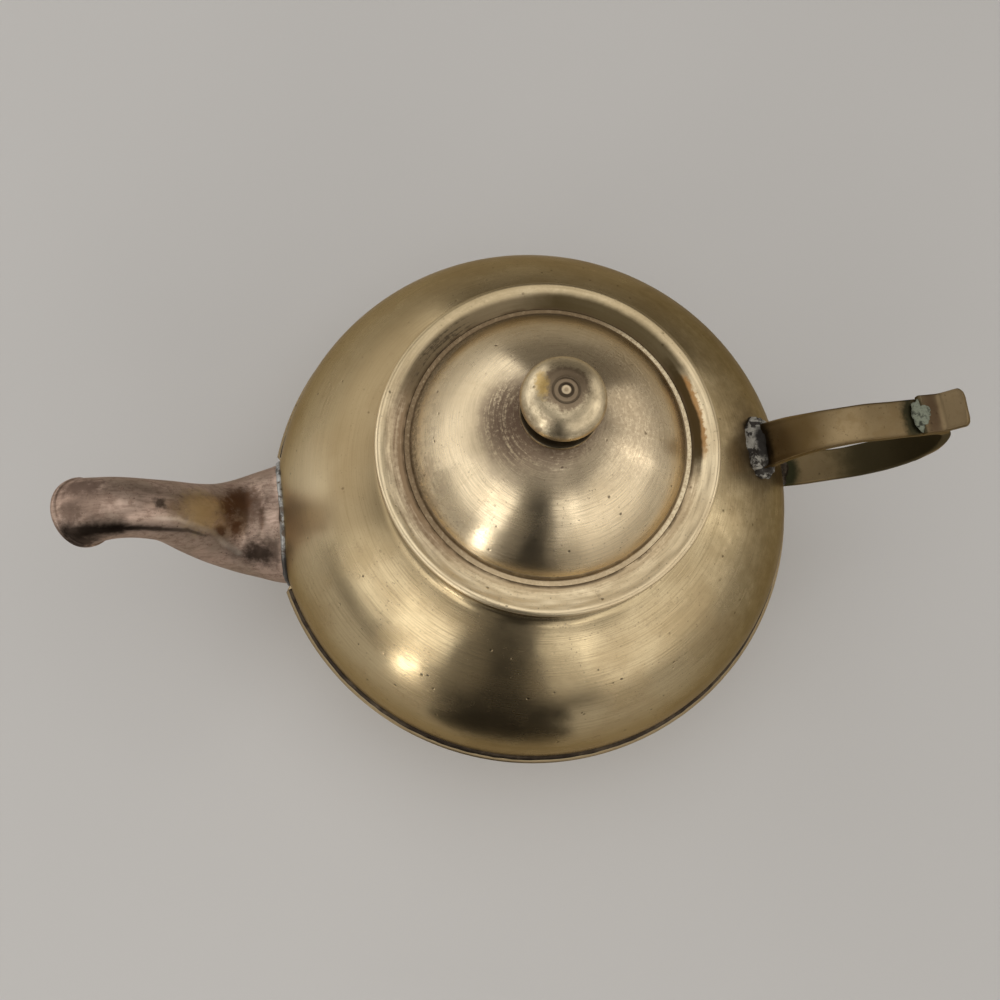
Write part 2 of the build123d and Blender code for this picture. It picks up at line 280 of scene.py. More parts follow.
# Reach from the bowl's side and rise above the seam in mm, direction above level, width in mm
spout_stations = (
    (-9.3, -2.0, 5, 30.4),
    (-0.8, -1.0, 8, 29.6),
    (5.2, 0.8, 18, 25.8),
    (11.2, 4.4, 42, 21.2),
    (15.7, 11.6, 66, 17.2),
    (19.3, 20.4, 64, 14.4),
    (24.2, 27.4, 42, 13.0),
    (29.2, 30.6, 18, 13.2),
    (33.2, 31.0, -8, 13.9),
    (36.6, 29.9, -34, 14.6),
)
spout_wall = 1.2 * mm
# The skin starts between the first two stations, and each ring is levelled with 5 either side
spout_start = 0.35
spout_steps = 150
spout_smoothing = 5
# The spout's unevenness, in mm
ridge_height = 0.42
groove_depth = 0.25
dent_depth = 0.22
# The rolled mouth
mouth_roll = 0.4 * mm
mouth_roll_length = 1.6 * mm
mouth_roll_round = 0.7 * mm


def spout_point(t):
    """Centre, direction and radius of the spout at t, counted in stations."""
    i = min(int(t), len(spout_stations) - 2)
    u = t - i
    a = spout_stations[i]
    b = spout_stations[i + 1]
    start = Vector((a[0], a[1]))
    end = Vector((b[0], b[1]))
    length = (end - start).length
    out = Vector((math.cos(math.radians(a[2])), math.sin(math.radians(a[2])))) * length
    into = Vector((math.cos(math.radians(b[2])), math.sin(math.radians(b[2])))) * length
    h = (2 * u**3 - 3 * u**2 + 1, u**3 - 2 * u**2 + u, 3 * u**2 - 2 * u**3, u**3 - u**2)
    place = start * h[0] + out * h[1] + end * h[2] + into * h[3]
    g = (6 * u**2 - 6 * u, 3 * u**2 - 4 * u + 1, 6 * u - 6 * u**2, 3 * u**2 - 2 * u)
    heading = (start * g[0] + out * g[1] + end * g[2] + into * g[3]).normalized()
    widths = [s[3] for s in spout_stations]
    before = widths[max(i - 1, 0)]
    after = widths[min(i + 2, len(widths) - 1)]
    rise_a = (b[3] - before) / 2
    rise_b = (after - a[3]) / 2
    width = a[3] * h[0] + rise_a * h[1] + b[3] * h[2] + rise_b * h[3]
    centre = Vector((-(body_radius + place.x * mm), 0, seam_height + place.y * mm))
    along = Vector((-heading.x, 0, heading.y))
    return centre, along, width / 2 * mm


def spout_ring(t, radius, shift=0.0):
    """A ring of points round the spout's centre line, shifted along it."""
    centre, along, _ = spout_point(t)
    side = Vector((0, 1, 0))
    top = side.cross(along)
    ring = []
    for k in range(fine_turns):
        a = 2 * math.pi * k / fine_turns
        bulge = radius + spout_unevenness(t, a)
        ring.append(centre + along * shift + side * math.cos(a) * bulge + top * math.sin(a) * bulge)
    return ring


def spout_unevenness(t, a):
    """Hand-formed ridge along the front and shallow dents, as a change of radius."""
    along = max(0.0, 1 - abs(t - 4.6) / 2.6)
    ridge_angle = math.radians(214 + 5 * (t - 4))
    off = math.atan2(math.sin(a - ridge_angle), math.cos(a - ridge_angle))
    ridge = ridge_height * mm * along * math.exp(-((off / 0.16) ** 2))
    groove = groove_depth * mm * along * math.exp(-(((off - 0.36) / 0.2) ** 2))
    dents = noise.noise(Vector((t * 0.9, math.cos(a) * 1.1, math.sin(a) * 1.1))) * dent_depth * mm
    return ridge - groove + dents


def make_spout(bowls):
    """The swan neck with its wall and rolled mouth, cut to the bowls it is soldered to."""
    last = len(spout_stations) - 1
    steps = spout_steps
    rings = []
    outside = []
    for i in range(steps + 1):
        t = spout_start + (last - spout_start) * i / steps
        outside.append(spout_ring(t, spout_point(t)[2]))
    for i in range(steps + 1):
        reach = min(spout_smoothing, i, steps - i)
        near = outside[i - reach : i + reach + 1]
        rings.append([sum((ring[k] for ring in near), Vector()) / len(near) for k in range(fine_turns)])
    mouth = spout_point(last)[2]
    roll = softened(
        (
            (mouth, 0.0, 0),
            (mouth + mouth_roll, 0.2 * mm, 0.2 * mm),
            (mouth + mouth_roll, mouth_roll_length, mouth_roll_round),
            (mouth - spout_wall, mouth_roll_length, mouth_roll_round),
            (mouth - spout_wall, 0.0, 0),
        ),
        closed=False,
        step=0.3 * mm,
    )
    for radius, shift in roll[1:]:
        rings.append(spout_ring(last, radius, shift))
    for i in range(steps + 1):
        t = last - (last - spout_start) * i / steps
        rings.append(spout_ring(t, spout_point(t)[2] - spout_wall))
    spout = skin("spout_skin", rings, loop=True)
    trimmed(spout, bowls)
    return spout


def spout_foot_line(grow, count):
    """Points where the spout's outside meets the bowls, all the way round."""
    line = []
    for k in range(count):
        a = 2 * math.pi * k / count
        low, high = 0.3, 4.0
        for _ in range(30):
            t = (low + high) / 2
            centre, along, radius = spout_point(t)
            side = Vector((0, 1, 0))
            top = side.cross(along)
            p = centre + (side * math.cos(a) + top * math.sin(a)) * (radius + grow)
            if math.hypot(p.x, p.y) > bowl_radius(p.z):
                high = t
            else:
                low = t
        line.append(p)
    return line


def bead(name, line, radius, bowls, roughness, closed=True, seed=0.0):
    """A lumpy solder bead of about a radius along a line of points, cut clear of the bowls."""
    count = len(line)
    rings = []
    sides = 14
    for i, p in enumerate(line):
        ahead = line[(i + 1) % count] if closed or i < count - 1 else p
        behind = line[i - 1] if closed or i > 0 else p
        along = (ahead - behind).normalized()
        out = Vector((p.x, p.y, 0)).normalized()
        out = (out - along * out.dot(along)).normalized()
        across = along.cross(out)
        ring = []
        for k in range(sides):
            a = 2 * math.pi * k / sides
            lump = noise.noise(p * (1 / (2.2 * mm)) + Vector((seed, 0, a)))
            size = radius * (1 + roughness * lump)
            ring.append(p + (out * math.cos(a) + across * math.sin(a)) * size)
        rings.append(ring)
    piece = skin(name, rings, loop=closed, caps=not closed)
    if bowls:
        trimmed(piece, bowls)
    return piece


# Handle

strap_thickness = 2.0 * mm
strap_half_width = 3.9 * mm
strap_half_root = 5.4 * mm
strap_flare = 0.3 * mm


def tangent_arc(start, heading, end, count):
    """Points on the arc that leaves start along a heading and reaches end, and its last heading."""
    chord = end - start
    normal = Vector((-heading.y, heading.x))
    radius = chord.length_squared / (2 * chord.dot(normal))
    centre = start + normal * radius
    begin = math.atan2(start.y - centre.y, start.x - centre.x)
    finish = math.atan2(end.y - centre.y, end.x - centre.x)
    turn = finish - begin
    if radius > 0:
        turn = turn % (2 * math.pi)
    else:
        turn = -((-turn) % (2 * math.pi))
    size = abs(radius)
    points = []
    for i in range(1, count + 1):
        a = begin + turn * i / count
        points.append(centre + Vector((math.cos(a), math.sin(a))) * size)
    turned = Matrix.Rotation(turn, 2) @ heading
    return points, turned


def turning_arc(start, heading, radius, degrees, count):
    """Points on an arc of a radius that turns left by so many degrees, and its last heading."""
    normal = Vector((-heading.y, heading.x))
    centre = start + normal * radius
    points = []
    for i in range(1, count + 1):
        a = math.radians(degrees) * i / count
        points.append(centre + Matrix.Rotation(a, 2) @ (start - centre))
    return points, Matrix.Rotation(math.radians(degrees), 2) @ heading


def place_on_side(reach, rise):
    """A point in the handle's plane from its reach and rise in mm."""
    return Vector((body_radius + reach * mm, seam_height + rise * mm))


def strap_line():
    """The middle of the strap in the handle's plane, from the side round to the shoulder."""
    start = place_on_side(-4, 2.9)
    bend = place_on_side(11.7, 3.2)
    heading = (bend - start).normalized()
    points = [start + (bend - start) * i / 14 for i in range(15)]
    more, heading = tangent_arc(bend, heading, place_on_side(30.3, 23.0), 40)
    points += more
    for radius, degrees in ((36.0 * mm, 23.0), (5.0 * mm, 65.0)):
        more, heading = turning_arc(points[-1], heading, radius, degrees, 16)
        points += more
    for end in (place_on_side(8.7, 39.5), place_on_side(-10.7, 29.3)):
        more, heading = tangent_arc(points[-1], heading, end, 28)
        points += more
    here = points[-1]
    points += [here + heading * 6.0 * mm * i / 6 for i in range(1, 7)]
    return points


def ribbon(line, thickness, half_width, round_off, uneven):
    """A flat bar along a line in the handle's plane, with rounded edges."""
    rings = []
    count = len(line)
    for i, p in enumerate(line):
        ahead = line[min(i + 1, count - 1)]
        behind = line[max(i - 1, 0)]
        along = (ahead - behind).normalized()
        normal = Vector((-along.y, along.x))
        half = half_width(p, i / (count - 1))
        section = softened(
            (
                (-half, -thickness / 2, round_off),
                (half, -thickness / 2, round_off),
                (half, thickness / 2, round_off),
                (-half, thickness / 2, round_off),
            ),
            step=half,
        )
        ring = []
        for y, n in section:
            q = Vector((p.x + normal.x * n, y, p.y + normal.y * n))
            q += noise.noise_vector(q * (1 / (6 * mm))) * uneven
            ring.append(q)
        rings.append(ring)
    return rings


def strap_width_at(p, _):
    """Half the strap's width: wider towards its root on the shoulder."""
    reach = (p.x - body_radius) / mm
    if p.y < seam_height + 15 * mm:
        return strap_half_width + strap_flare * max(0.0, min(1.0, (14 - reach) / 11))
    if reach > 2.7:
        return strap_half_width + strap_flare * max(0.0, min(1.0, (40 - reach) / 37))
    share = min(1.0, (2.7 - reach) / 16)
    return strap_half_width + strap_flare + (strap_half_root - strap_half_width - strap_flare) * share**1.5


def make_strap(bowls):
    """The bent brass strap, cut to the bowl at both ends."""
    rings = ribbon(strap_line(), strap_thickness, strap_width_at, 0.45 * mm, 0.12 * mm)
    strap = skin("handle_strap_skin", rings, caps=True)
    trimmed(strap, bowls)
    return strap


tab_thickness = 1.8 * mm
tab_half_width = 4.3 * mm
tab_corner = 1.7 * mm


def make_tab():
    """The thumb tab: a foot on the strap, a bend and a rising end with rounded corners."""
    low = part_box("thumb_piece")[0]
    start = Vector((low.x, low.z + tab_thickness / 2))
    heading = Vector((1, 0))
    points = [start + heading * 3.6 * mm * i / 5 for i in range(6)]
    more, heading = turning_arc(points[-1], heading, 3.0 * mm, 42.0, 12)
    points += more
    here = points[-1]
    points += [here + heading * 4.2 * mm * i / 24 for i in range(1, 25)]
    total = sum((b - a).length for a, b in zip(points, points[1:]))

    def width(_, share):
        left = (1 - share) * total
        if left >= tab_corner:
            return tab_half_width
        return tab_half_width - tab_corner + math.sqrt(max(0.0, tab_corner**2 - (tab_corner - left) ** 2))

    rings = ribbon(points, tab_thickness, width, 0.4 * mm, 0.08 * mm)
    return skin("thumb_piece_skin", rings, caps=True)


# Solder lumps: centre, half sizes, roughness, grain, seed, whether a bowl cuts it; in mm
lumps = {
    "handle_top_solder": ((50.9, 0.3, 66.6), (4.2, 7.3, 3.7), 0.24, 2.6, 2.0, True),
    "handle_lower_solder": ((61.9, 0.0, 43.6), (3.6, 4.9, 3.2), 0.2, 2.2, 5.0, True),
    "thumb_solder": ((83.2, 0.0, 81.55), (2.1, 4.1, 1.35), 0.3, 1.5, 7.0, False),
}


def make_lump(node, bowls):
    """A crusted lump: a ball stretched to a size and roughened by two grains of noise."""
    middle, half_sizes, roughness, grain, seed, cut = lumps[node]
    name = f"{node}_lump"
    centre = Vector([c * mm for c in middle])
    size = [s * mm for s in half_sizes]
    grain *= mm
    bm = bmesh.new()
    bmesh.ops.create_icosphere(bm, subdivisions=5, radius=1.0)
    shift = Vector((seed, seed * 2, seed * 3))
    for v in bm.verts:
        n = v.co.normalized()
        p = Vector((n.x * size[0], n.y * size[1], n.z * size[2]))
        bumps = noise.noise(p / grain + shift) * 0.65 + noise.noise(p / grain * 2.7 + shift) * 0.35
        v.co = centre + p * (1 + roughness * bumps)
    mesh = bpy.data.meshes.new(name)
    bm.to_mesh(mesh)
    bm.free()
    piece = show(name, mesh)
    if cut:
        trimmed(piece, bowls)
    return piece


# Turned pieces


def spout_gap(r, z, angle):
    """The turned-out seam edge stops either side of the spout."""
    off = math.atan2(math.sin(angle - math.pi), math.cos(angle - math.pi))
    if abs(off) < math.radians(15.0):
        r = min(r, body_radius)
    return r, z


# Strainer holes: rise from the seam and number in each row, and their spacing, in mm
hole_rows = ((4.6, 4), (9.2, 3))
hole_spacing = 5.2
hole_radius = 1.6 * mm


def drills():
    """Closed cylinders for the strainer holes behind the spout."""
    pieces = []
    ends = (Vector((-body_radius - 3 * mm, 0, 0)), Vector((-body_radius / 2, 0, 0)))
    angles = [2 * math.pi * k / 24 for k in range(24)]
    for side in (1, -1):
        for rise, count in hole_rows:
            for i in range(count):
                y = (i - (count - 1) / 2) * hole_spacing * mm
                z = seam_height + side * rise * mm
                ring = [
                    Vector((0, y + hole_radius * math.cos(a), z + hole_radius * math.sin(a)))
                    for a in angles
                ]
                pieces.append(skin("drill", [[p + end for p in ring] for end in ends], caps=True))
    for piece in pieces[1:]:
        pieces[0].data = joined_mesh(pieces[0], piece)
    return pieces[0]


def joined_mesh(first, second):
    """One mesh with the faces of both; the second object is removed."""
    bm = bmesh.new()
    bm.from_mesh(first.data)
    bm.from_mesh(second.data)
    mesh = bpy.data.meshes.new(first.name)
    bm.to_mesh(mesh)
    bm.free()
    bpy.data.objects.remove(second)
    return mesh


def make_upper():
    """The upper bowl with its neck."""
    return lathe("body_upper_skin", upper_curve(0, 90) + upper_curve(body_wall, 70)[::-1])


def make_lower():
    """The lower bowl with its turned-out edge."""
    top = seam_height - 0.05 * mm
    edge = softened(
        (
            (body_radius + 0.1 * mm, top - seam_thickness, 0),
            (seam_radius, top - seam_thickness, 0.5 * mm),
            (seam_radius, top, 0.5 * mm),
            (body_radius - body_wall, top, 0),
        ),
        closed=False,
        step=0.4 * mm,
    )
    outside = lower_curve(0, 70)
    start = next(i for i, p in enumerate(outside) if p[1] < top - seam_thickness - 0.2 * mm)
    inside = lower_curve(body_wall, 60)
    profile = outside[start:][::-1] + edge + inside[1:]
    return lathe("body_lower_skin", profile, closed=False, warp=spout_gap)


def make_foot():
    """The flared foot ring."""
    top = seam_height / 4
    spread = foot_radius - foot_waist_radius
    flare = [
        (foot_waist_radius + spread * (i / 12) ** 1.8, foot_waist_height * (1 - i / 12))
        for i in range(1, 12)
    ]
    inner = foot_waist_radius - foot_wall
    profile = (
        [(foot_waist_radius, top), (foot_waist_radius, foot_waist_height)]
        + flare
        + softened(
            (
                (foot_radius - 0.25 * mm, 0.6 * mm, 0),
                (foot_radius, 0.0, 0.3 * mm),
                (foot_radius - foot_wall, 0.0, 0.3 * mm),
                (inner, foot_waist_height, 0),
            ),
            closed=False,
            step=1 * mm,
        )
        + [(inner, top)]
    )
    return lathe("foot_ring_skin", profile)


def make_rim():
    """The rim: ledge, recess, dished band and rounded lip."""
    corner = 0.25 * mm
    plug = neck_radius - body_wall - 0.05 * mm
    under = [
        (mouth_radius, ledge_underside, corner),
        (plug, ledge_underside, corner),
        (plug, lip_height - lip_round, 0),
        (lip_radius, lip_height - lip_round, 0),
    ]
    lip = [(r, z, 0) for r, z in arc((lip_radius, lip_height), lip_round, lip_round, -80, 90, 22)]
    dish = [
        (lip_radius - 1.3 * mm, rim_top - 0.42 * mm, 0.8 * mm),
        (recess_radius + 1.6 * mm, recess_floor + recess_depth + 0.22 * mm, 1.2 * mm),
        (recess_radius - 0.25 * mm, recess_floor + recess_depth, 0.06 * mm),
        (recess_radius - 0.25 * mm, recess_floor, 0.15 * mm),
        (mouth_radius, recess_floor, corner),
    ]
    profile = softened(tuple(under + lip + dish), step=0.5 * mm)

    def worn(r, z, angle):
        p = Vector((math.cos(angle), math.sin(angle), 0)) * 9
        if recess_radius + 0.1 * mm < r < lip_radius - 0.5 * mm:
            z += noise.noise(p + Vector((0, 0, r / mm))) * 0.07 * mm
        return r, z

    return lathe("neck_rim_skin", profile, warp=worn)


def dome_curve(inset, edge, top):
    """The dome's arc from its edge up to a height."""
    across = dome_radius - knob_seat
    rise = dome_top - dome_base
    chord = math.hypot(across, rise)
    depth = math.sqrt(dome_arc**2 - chord**2 / 4)
    centre = (
        (dome_radius + knob_seat) / 2 - depth * rise / chord,
        dome_base + rise / 2 - depth * across / chord,
    )
    size = dome_arc - inset
    start = math.degrees(math.acos((edge - centre[0]) / size))
    end = math.degrees(math.asin((top - centre[1]) / size))
    return arc(centre, size, size, start, end, 60)


def make_dome():
    """The lid: flange, step, dome and the flat under the knob."""
    outside = dome_curve(0, dome_radius, dome_top)
    inside = dome_curve(lid_wall, dome_radius - lid_wall, dome_top - lid_wall)
    rim = softened(
        (
            (dome_radius - lid_wall, lid_base, 0.1 * mm),
            (flange_radius, lid_base, 0.2 * mm),
            (flange_radius, flange_top, 0.12 * mm),
            (dome_radius + 0.15 * mm, flange_top, 0.25 * mm),
            (dome_radius, dome_base - 0.15 * mm, 0.15 * mm),
        ),
        closed=False,
        step=0.5 * mm,
    )
    hole = [(stem_hole, dome_top), (stem_hole, dome_top - lid_wall)]
    return lathe("lid_dome_skin", [inside[0]] + rim + outside + hole + inside[::-1][:-1])


def make_bezel():
    """The lid's locating ring."""
    inner = bezel_radius - bezel_wall
    profile = softened(
        (
            (inner, bezel_foot, 0.3 * mm),
            (bezel_radius, bezel_foot, 0.4 * mm),
            (bezel_radius, lid_base, 0.0),
            (inner, lid_base, 0.0),
        ),
        step=0.8 * mm,
    )
    return lathe("lid_bezel_skin", profile)


def make_knob():
    """The turned knob: ball with its crown rings, groove, collar, neck and peened stem."""
    half = 5.15 * mm
    centre = knob_top + 0.1 * mm - half
    crown = centre + half - 0.35 * mm
    groove_top = centre - half
    collar_top = groove_top - 0.9 * mm
    collar_foot = collar_top - 1.3 * mm
    crown_edge = ball_radius * math.sqrt(1 - ((half - 0.35 * mm) / half) ** 2)
    first = math.degrees(math.atan2((crown - centre) / half, crown_edge / ball_radius))
    groove_radius = 5.2 * mm
    collar_radius = 7.5 * mm
    stem_radius = 1.6 * mm
    peen = knob_foot + 0.8 * mm
    last = -math.degrees(math.acos(groove_radius / ball_radius))
    ball = arc((0, centre), ball_radius, half, first, last, 60)
    ring = 2.4 * mm
    pip = 0.85 * mm
    top = softened(
        (
            (0.0, crown + 0.16 * mm, 0),
            (0.35 * mm, crown + 0.18 * mm, 0.2 * mm),
            (pip, crown + 0.25 * mm, 0.25 * mm),
            (pip + 0.25 * mm, crown - 0.05 * mm, 0.2 * mm),
            (ring - 0.35 * mm, crown, 0.2 * mm),
            (ring - 0.1 * mm, crown - 0.13 * mm, 0.1 * mm),
            (ring + 0.1 * mm, crown - 0.13 * mm, 0.1 * mm),
            (ring + 0.3 * mm, crown + 0.03 * mm, 0.1 * mm),
            (crown_edge - 0.4 * mm, crown, 0.5 * mm),
            (ball[4][0], ball[4][1], 0),
        ),
        closed=False,
        step=0.3 * mm,
    )
    foot = softened(
        (
            (ball[-1][0], ball[-1][1], 0.2 * mm),
            (groove_radius, collar_top, 0.15 * mm),
            (collar_radius, collar_top, 0.45 * mm),
            (collar_radius, collar_foot, 0.45 * mm),
            (4.7 * mm, collar_foot, 0.35 * mm),
            (4.6 * mm, dome_top, 0.1 * mm),
            (stem_radius, dome_top, 0),
            (stem_radius, peen, 0),
            (2.4 * mm, peen, 0.2 * mm),
            (2.2 * mm, knob_foot, 0.4 * mm),
            (0.0, knob_foot, 0),
        ),
        closed=False,
        step=0.4 * mm,
    )
    return lathe("knob_skin", top[:-1] + ball[4:-1] + foot, closed=False)


def make_seam_solder():
    """The uneven dark solder run on the turned-out edge, open at the spout."""
    opening = math.radians(15.3)
    count = 720
    line = []
    for i in range(count + 1):
        a = -math.pi + opening + (2 * math.pi - 2 * opening) * i / count
        wander = noise.noise(Vector((math.cos(a), math.sin(a), 0)) * 14) * 0.05 * mm
        r = body_radius + 0.12 * mm + wander
        line.append(Vector((r * math.cos(a), r * math.sin(a), seam_height + 0.06 * mm)))
    return bead("seam_solder_bead", line, 0.85 * mm, None, 0.12, closed=False, seed=4.0)


# Looks


class Paint:
    """One material and the nodes that colour it. Places are in the row frame, in millimetres."""

    def __init__(self, name):
        self.material = bpy.data.materials.new(name)
        self.material.use_nodes = True
        self.tree = self.material.node_tree
        self.shader = self.tree.nodes["Principled BSDF"]
        self.place = self.vector("SCALE", self.node("TexCoord", {})["Object"], scale=1000.0)
        flat = self.vector("MULTIPLY", self.place, (1.0, 1.0, 0.0))
        self.reach = self.vector("LENGTH", flat)
        self.round = self.vector("NORMALIZE", flat)
        self.x, self.y, self.z = self.node("SeparateXYZ", {0: self.place})

    def put(self, socket, value):
        """Links a node's output to a socket, or sets the socket's own value."""
        if isinstance(value, bpy.types.NodeSocket):
            self.tree.links.new(value, socket)
        elif socket.type == "RGBA" and len(value) == 3:
            socket.default_value = (*value, 1.0)
        else:
            socket.default_value = value

    def node(self, kind, inputs, **settings):
        """The outputs of a new node, whose inputs are linked or set by name or number."""
        node = self.tree.nodes.new(f"ShaderNode{kind}")
        for name, value in settings.items():
            setattr(node, name, value)
        for socket, value in inputs.items():
            self.put(node.inputs[socket], value)
        return node.outputs

    def vector(self, operation, a, b=None, scale=None):
        inputs = {0: a}
        if b is not None:
            inputs[1] = b
        if scale is not None:
            inputs["Scale"] = scale
        outputs = self.node("VectorMath", inputs, operation=operation)
        return outputs["Value" if operation in ("LENGTH", "DISTANCE", "DOT_PRODUCT") else "Vector"]

    def math(self, operation, a, b=0.0, clamp=False):
        return self.node("Math", {0: a, 1: b}, operation=operation, use_clamp=clamp)[0]

    def times(self, a, b):
        return self.math("MULTIPLY", a, b)

    def minus(self, a, b):
        return self.math("SUBTRACT", a, b)

    def plus(self, a, b, factor=None):
        """The sum of a and b, or of a and b times a factor."""
        return self.math("ADD", a, b if factor is None else self.times(b, factor))

    def fade(self, value, low, high, start=0.0, end=1.0):
        """Goes smoothly from start to end as a value goes from low to high."""
        inputs = {0: value, 1: low, 2: high, 3: start, 4: end}
        return self.node("MapRange", inputs, interpolation_type="SMOOTHSTEP")[0]

    def fall(self, value, low, high):
        """Goes smoothly from 1 to 0 as a value goes from low to high."""
        return self.fade(value, low, high, 1.0, 0.0)

    def band(self, value, low, high, soft):
        """1 where a value lies between low and high, with soft edges."""
        return self.times(self.fade(value, low - soft, low), self.fall(value, high, high + soft))

    def noise(self, size, detail=3.0, rough=0.55, at=None, distort=0.0):
        """Noise with grains of a size in mm."""
        inputs = {"Scale": 1 / size, "Detail": detail, "Roughness": rough, "Distortion": distort}
        return self.node("TexNoise", {"Vector": at or self.place, **inputs})["Fac"]

    def cells(self, size):
        """Distance to the nearest of scattered points, in units of their spacing."""
        return self.node("TexVoronoi", {"Vector": self.place, "Scale": 1 / size})["Distance"]

    def mix(self, share, a, b):
        """Between two colours."""
        return self.node("Mix", {0: share, 6: a, 7: b}, data_type="RGBA")[2]

    def blend(self, share, a, b):
        """Between two numbers."""
        return self.node("Mix", {0: share, 2: a, 3: b})[0]

    def turned(self, across, around=3.0, down=-1.0):
        """Places drawn out round the axis, for marks left by turning and polishing."""
        along = self.plus(self.reach, self.z, down)
        lengthwise = self.node("CombineXYZ", {2: self.times(along, 1 / across)})[0]
        return self.vector("ADD", self.vector("SCALE", self.round, scale=around), lengthwise)

    def ragged(self, away, reach, uneven, grain, edge):
        """1 within a reach and 0 outside it, with an uneven edge."""
        wobble = self.times(self.minus(self.noise(grain, 4.0, 0.6), 0.5), 2 * uneven * reach)
        return self.fall(self.plus(away, wobble), reach * (1 - edge), reach * (1 + edge))

    def near(self, place, size, uneven=0.35, grain=1.5, edge=0.35):
        """A ragged spot: 1 within a size of a place, 0 outside it."""
        off = self.vector("SUBTRACT", self.place, place)
        reach = size
        if isinstance(size, tuple):
            off = self.vector("DIVIDE", off, size)
            reach = 1.0
        return self.ragged(self.vector("LENGTH", off), reach, uneven, grain, edge)

    def stroke(self, start, end, width, edge, uneven=0.4, grain=1.0):
        """A ragged line: 1 within a width of the line between two places."""
        along = Vector(end) - Vector(start)
        off = self.vector("SUBTRACT", self.place, start)
        reached = self.vector("DOT_PRODUCT", off, tuple(along))
        share = self.math("DIVIDE", reached, along.length_squared, clamp=True)
        nearest = self.vector("SCALE", tuple(along), scale=share)
        return self.ragged(self.vector("DISTANCE", off, nearest), width, uneven, grain, edge)

    def path(self, places, widths, edge):
        """A ragged line through several places."""
        return self.either(*(self.stroke(a, b, w, edge) for a, b, w in zip(places, places[1:], widths)))

    def both(self, *shares):
        """Where two or more shares meet."""
        total = shares[-1]
        for share in shares[-2::-1]:
            total = self.math("MULTIPLY", share, total, clamp=True)
        return total

    def either(self, *shares):
        """The largest of several shares."""
        total = shares[0]
        for share in shares[1:]:
            total = self.math("MAXIMUM", total, share)
        return total

    def bump(self, height, depth, normal=None):
        """Relief of a depth in mm."""
        inputs = {"Strength": 1.0, "Distance": depth * mm, "Height": height}
        if normal:
            inputs["Normal"] = normal
        return self.node("Bump", inputs)[0]

    def finish(self, colour, roughness, metallic=1.0, normal=None, brushed=0.0, edge=None):
        """Joins what was worked out to the shader; edge tints the metal at a slant."""
        inputs = {"Base Color": colour, "Roughness": roughness, "Metallic": metallic}
        if edge:
            inputs["Specular Tint"] = edge
        if normal:
            inputs["Normal"] = normal
        if brushed:
            inputs["Tangent"] = self.node("Tangent", {}, direction_type="RADIAL", axis="Z")[0]
            inputs["Anisotropic"] = brushed
            inputs["Anisotropic Rotation"] = 0.25
        for name, value in inputs.items():
            self.put(self.shader.inputs[name], value)
        return self.material


def darker(colour, share):
    """A colour times a share."""
    return tuple(share * c for c in colour)


def brass(name, base, dull, gloss, marks, speckle, pits, brushed, down=-1.0, wave=0.03, turn=0.45):
    """Old brass; each of its marks is (spot, colour, strength, roughness, metal)."""
    p = Paint(name)
    lines = p.noise(1.0, 4.0, 0.7, at=p.turned(0.32, down=down))
    arcs = p.noise(1.0, 5.0, 0.72, at=p.turned(0.7, 2.2, down))
    broad = p.noise(14.0, 3.0, 0.55)
    patches = p.noise(3.2, 5.0, 0.65)
    grain = p.noise(0.5, 3.0, 0.75)
    colour = p.mix(p.fade(broad, 0.35, 0.68, 0.0, 0.6), base, dull)
    colour = p.mix(p.fade(lines, 0.4, 0.75, 0.0, turn), colour, darker(dull, 0.5))
    colour = p.mix(p.fade(arcs, 0.52, 0.8, 0.0, turn), colour, darker(dull, 0.42))
    colour = p.mix(p.fade(grain, 0.55, 0.8, 0.0, 0.45), colour, darker(dull, 0.35))
    spots = p.both(p.fade(patches, 0.56, 0.72), p.fade(grain, 0.42, 0.62))
    colour = p.mix(p.times(spots, speckle), colour, (0.15, 0.10, 0.075))
    hollow = p.both(p.fall(p.cells(3.4), 0.04, 0.12), p.fade(p.noise(5.0), 0.42, 0.55))
    tiny = p.both(p.fall(p.cells(1.1), 0.08, 0.2), p.fade(p.noise(3.0), 0.42, 0.6))
    hole = p.either(hollow, p.times(tiny, 0.7))
    colour = p.mix(p.times(hole, pits), colour, (0.045, 0.03, 0.02))
    rough = p.fade(broad, 0.3, 0.7, gloss - 0.03, gloss + 0.07)
    rough = p.plus(rough, p.minus(lines, 0.5), 0.14)
    rough = p.blend(p.times(spots, speckle), rough, 0.5)
    metallic = 1.0
    for where, tint, strength, mark_rough, mark_metal in marks(p):
        share = where if isinstance(where, bpy.types.NodeSocket) else p.near(*where)
        share = p.times(share, strength)
        colour = p.mix(share, colour, tint)
        rough = p.blend(share, rough, mark_rough)
        metallic = p.blend(share, metallic, mark_metal)
    normal = p.bump(p.noise(9.0, 2.0, 0.4), wave)
    normal = p.bump(lines, 0.0015, normal)
    normal = p.bump(p.times(hollow, -1.0), 0.05, normal)
    return p.finish(colour, rough, metallic, normal, brushed, (0.72, 0.60, 0.42))


# Colours of dirt and tarnish, some of them also used for painted shade, and of the spout ridge's painted
# highlight with wear
soot = (0.04, 0.028, 0.018)
umber = (0.10, 0.066, 0.035)
plum = (0.19, 0.125, 0.085)
brown = (0.15, 0.075, 0.04)
black = (0.028, 0.02, 0.016)
ridge_highlight_and_wear = (0.80, 0.68, 0.56)
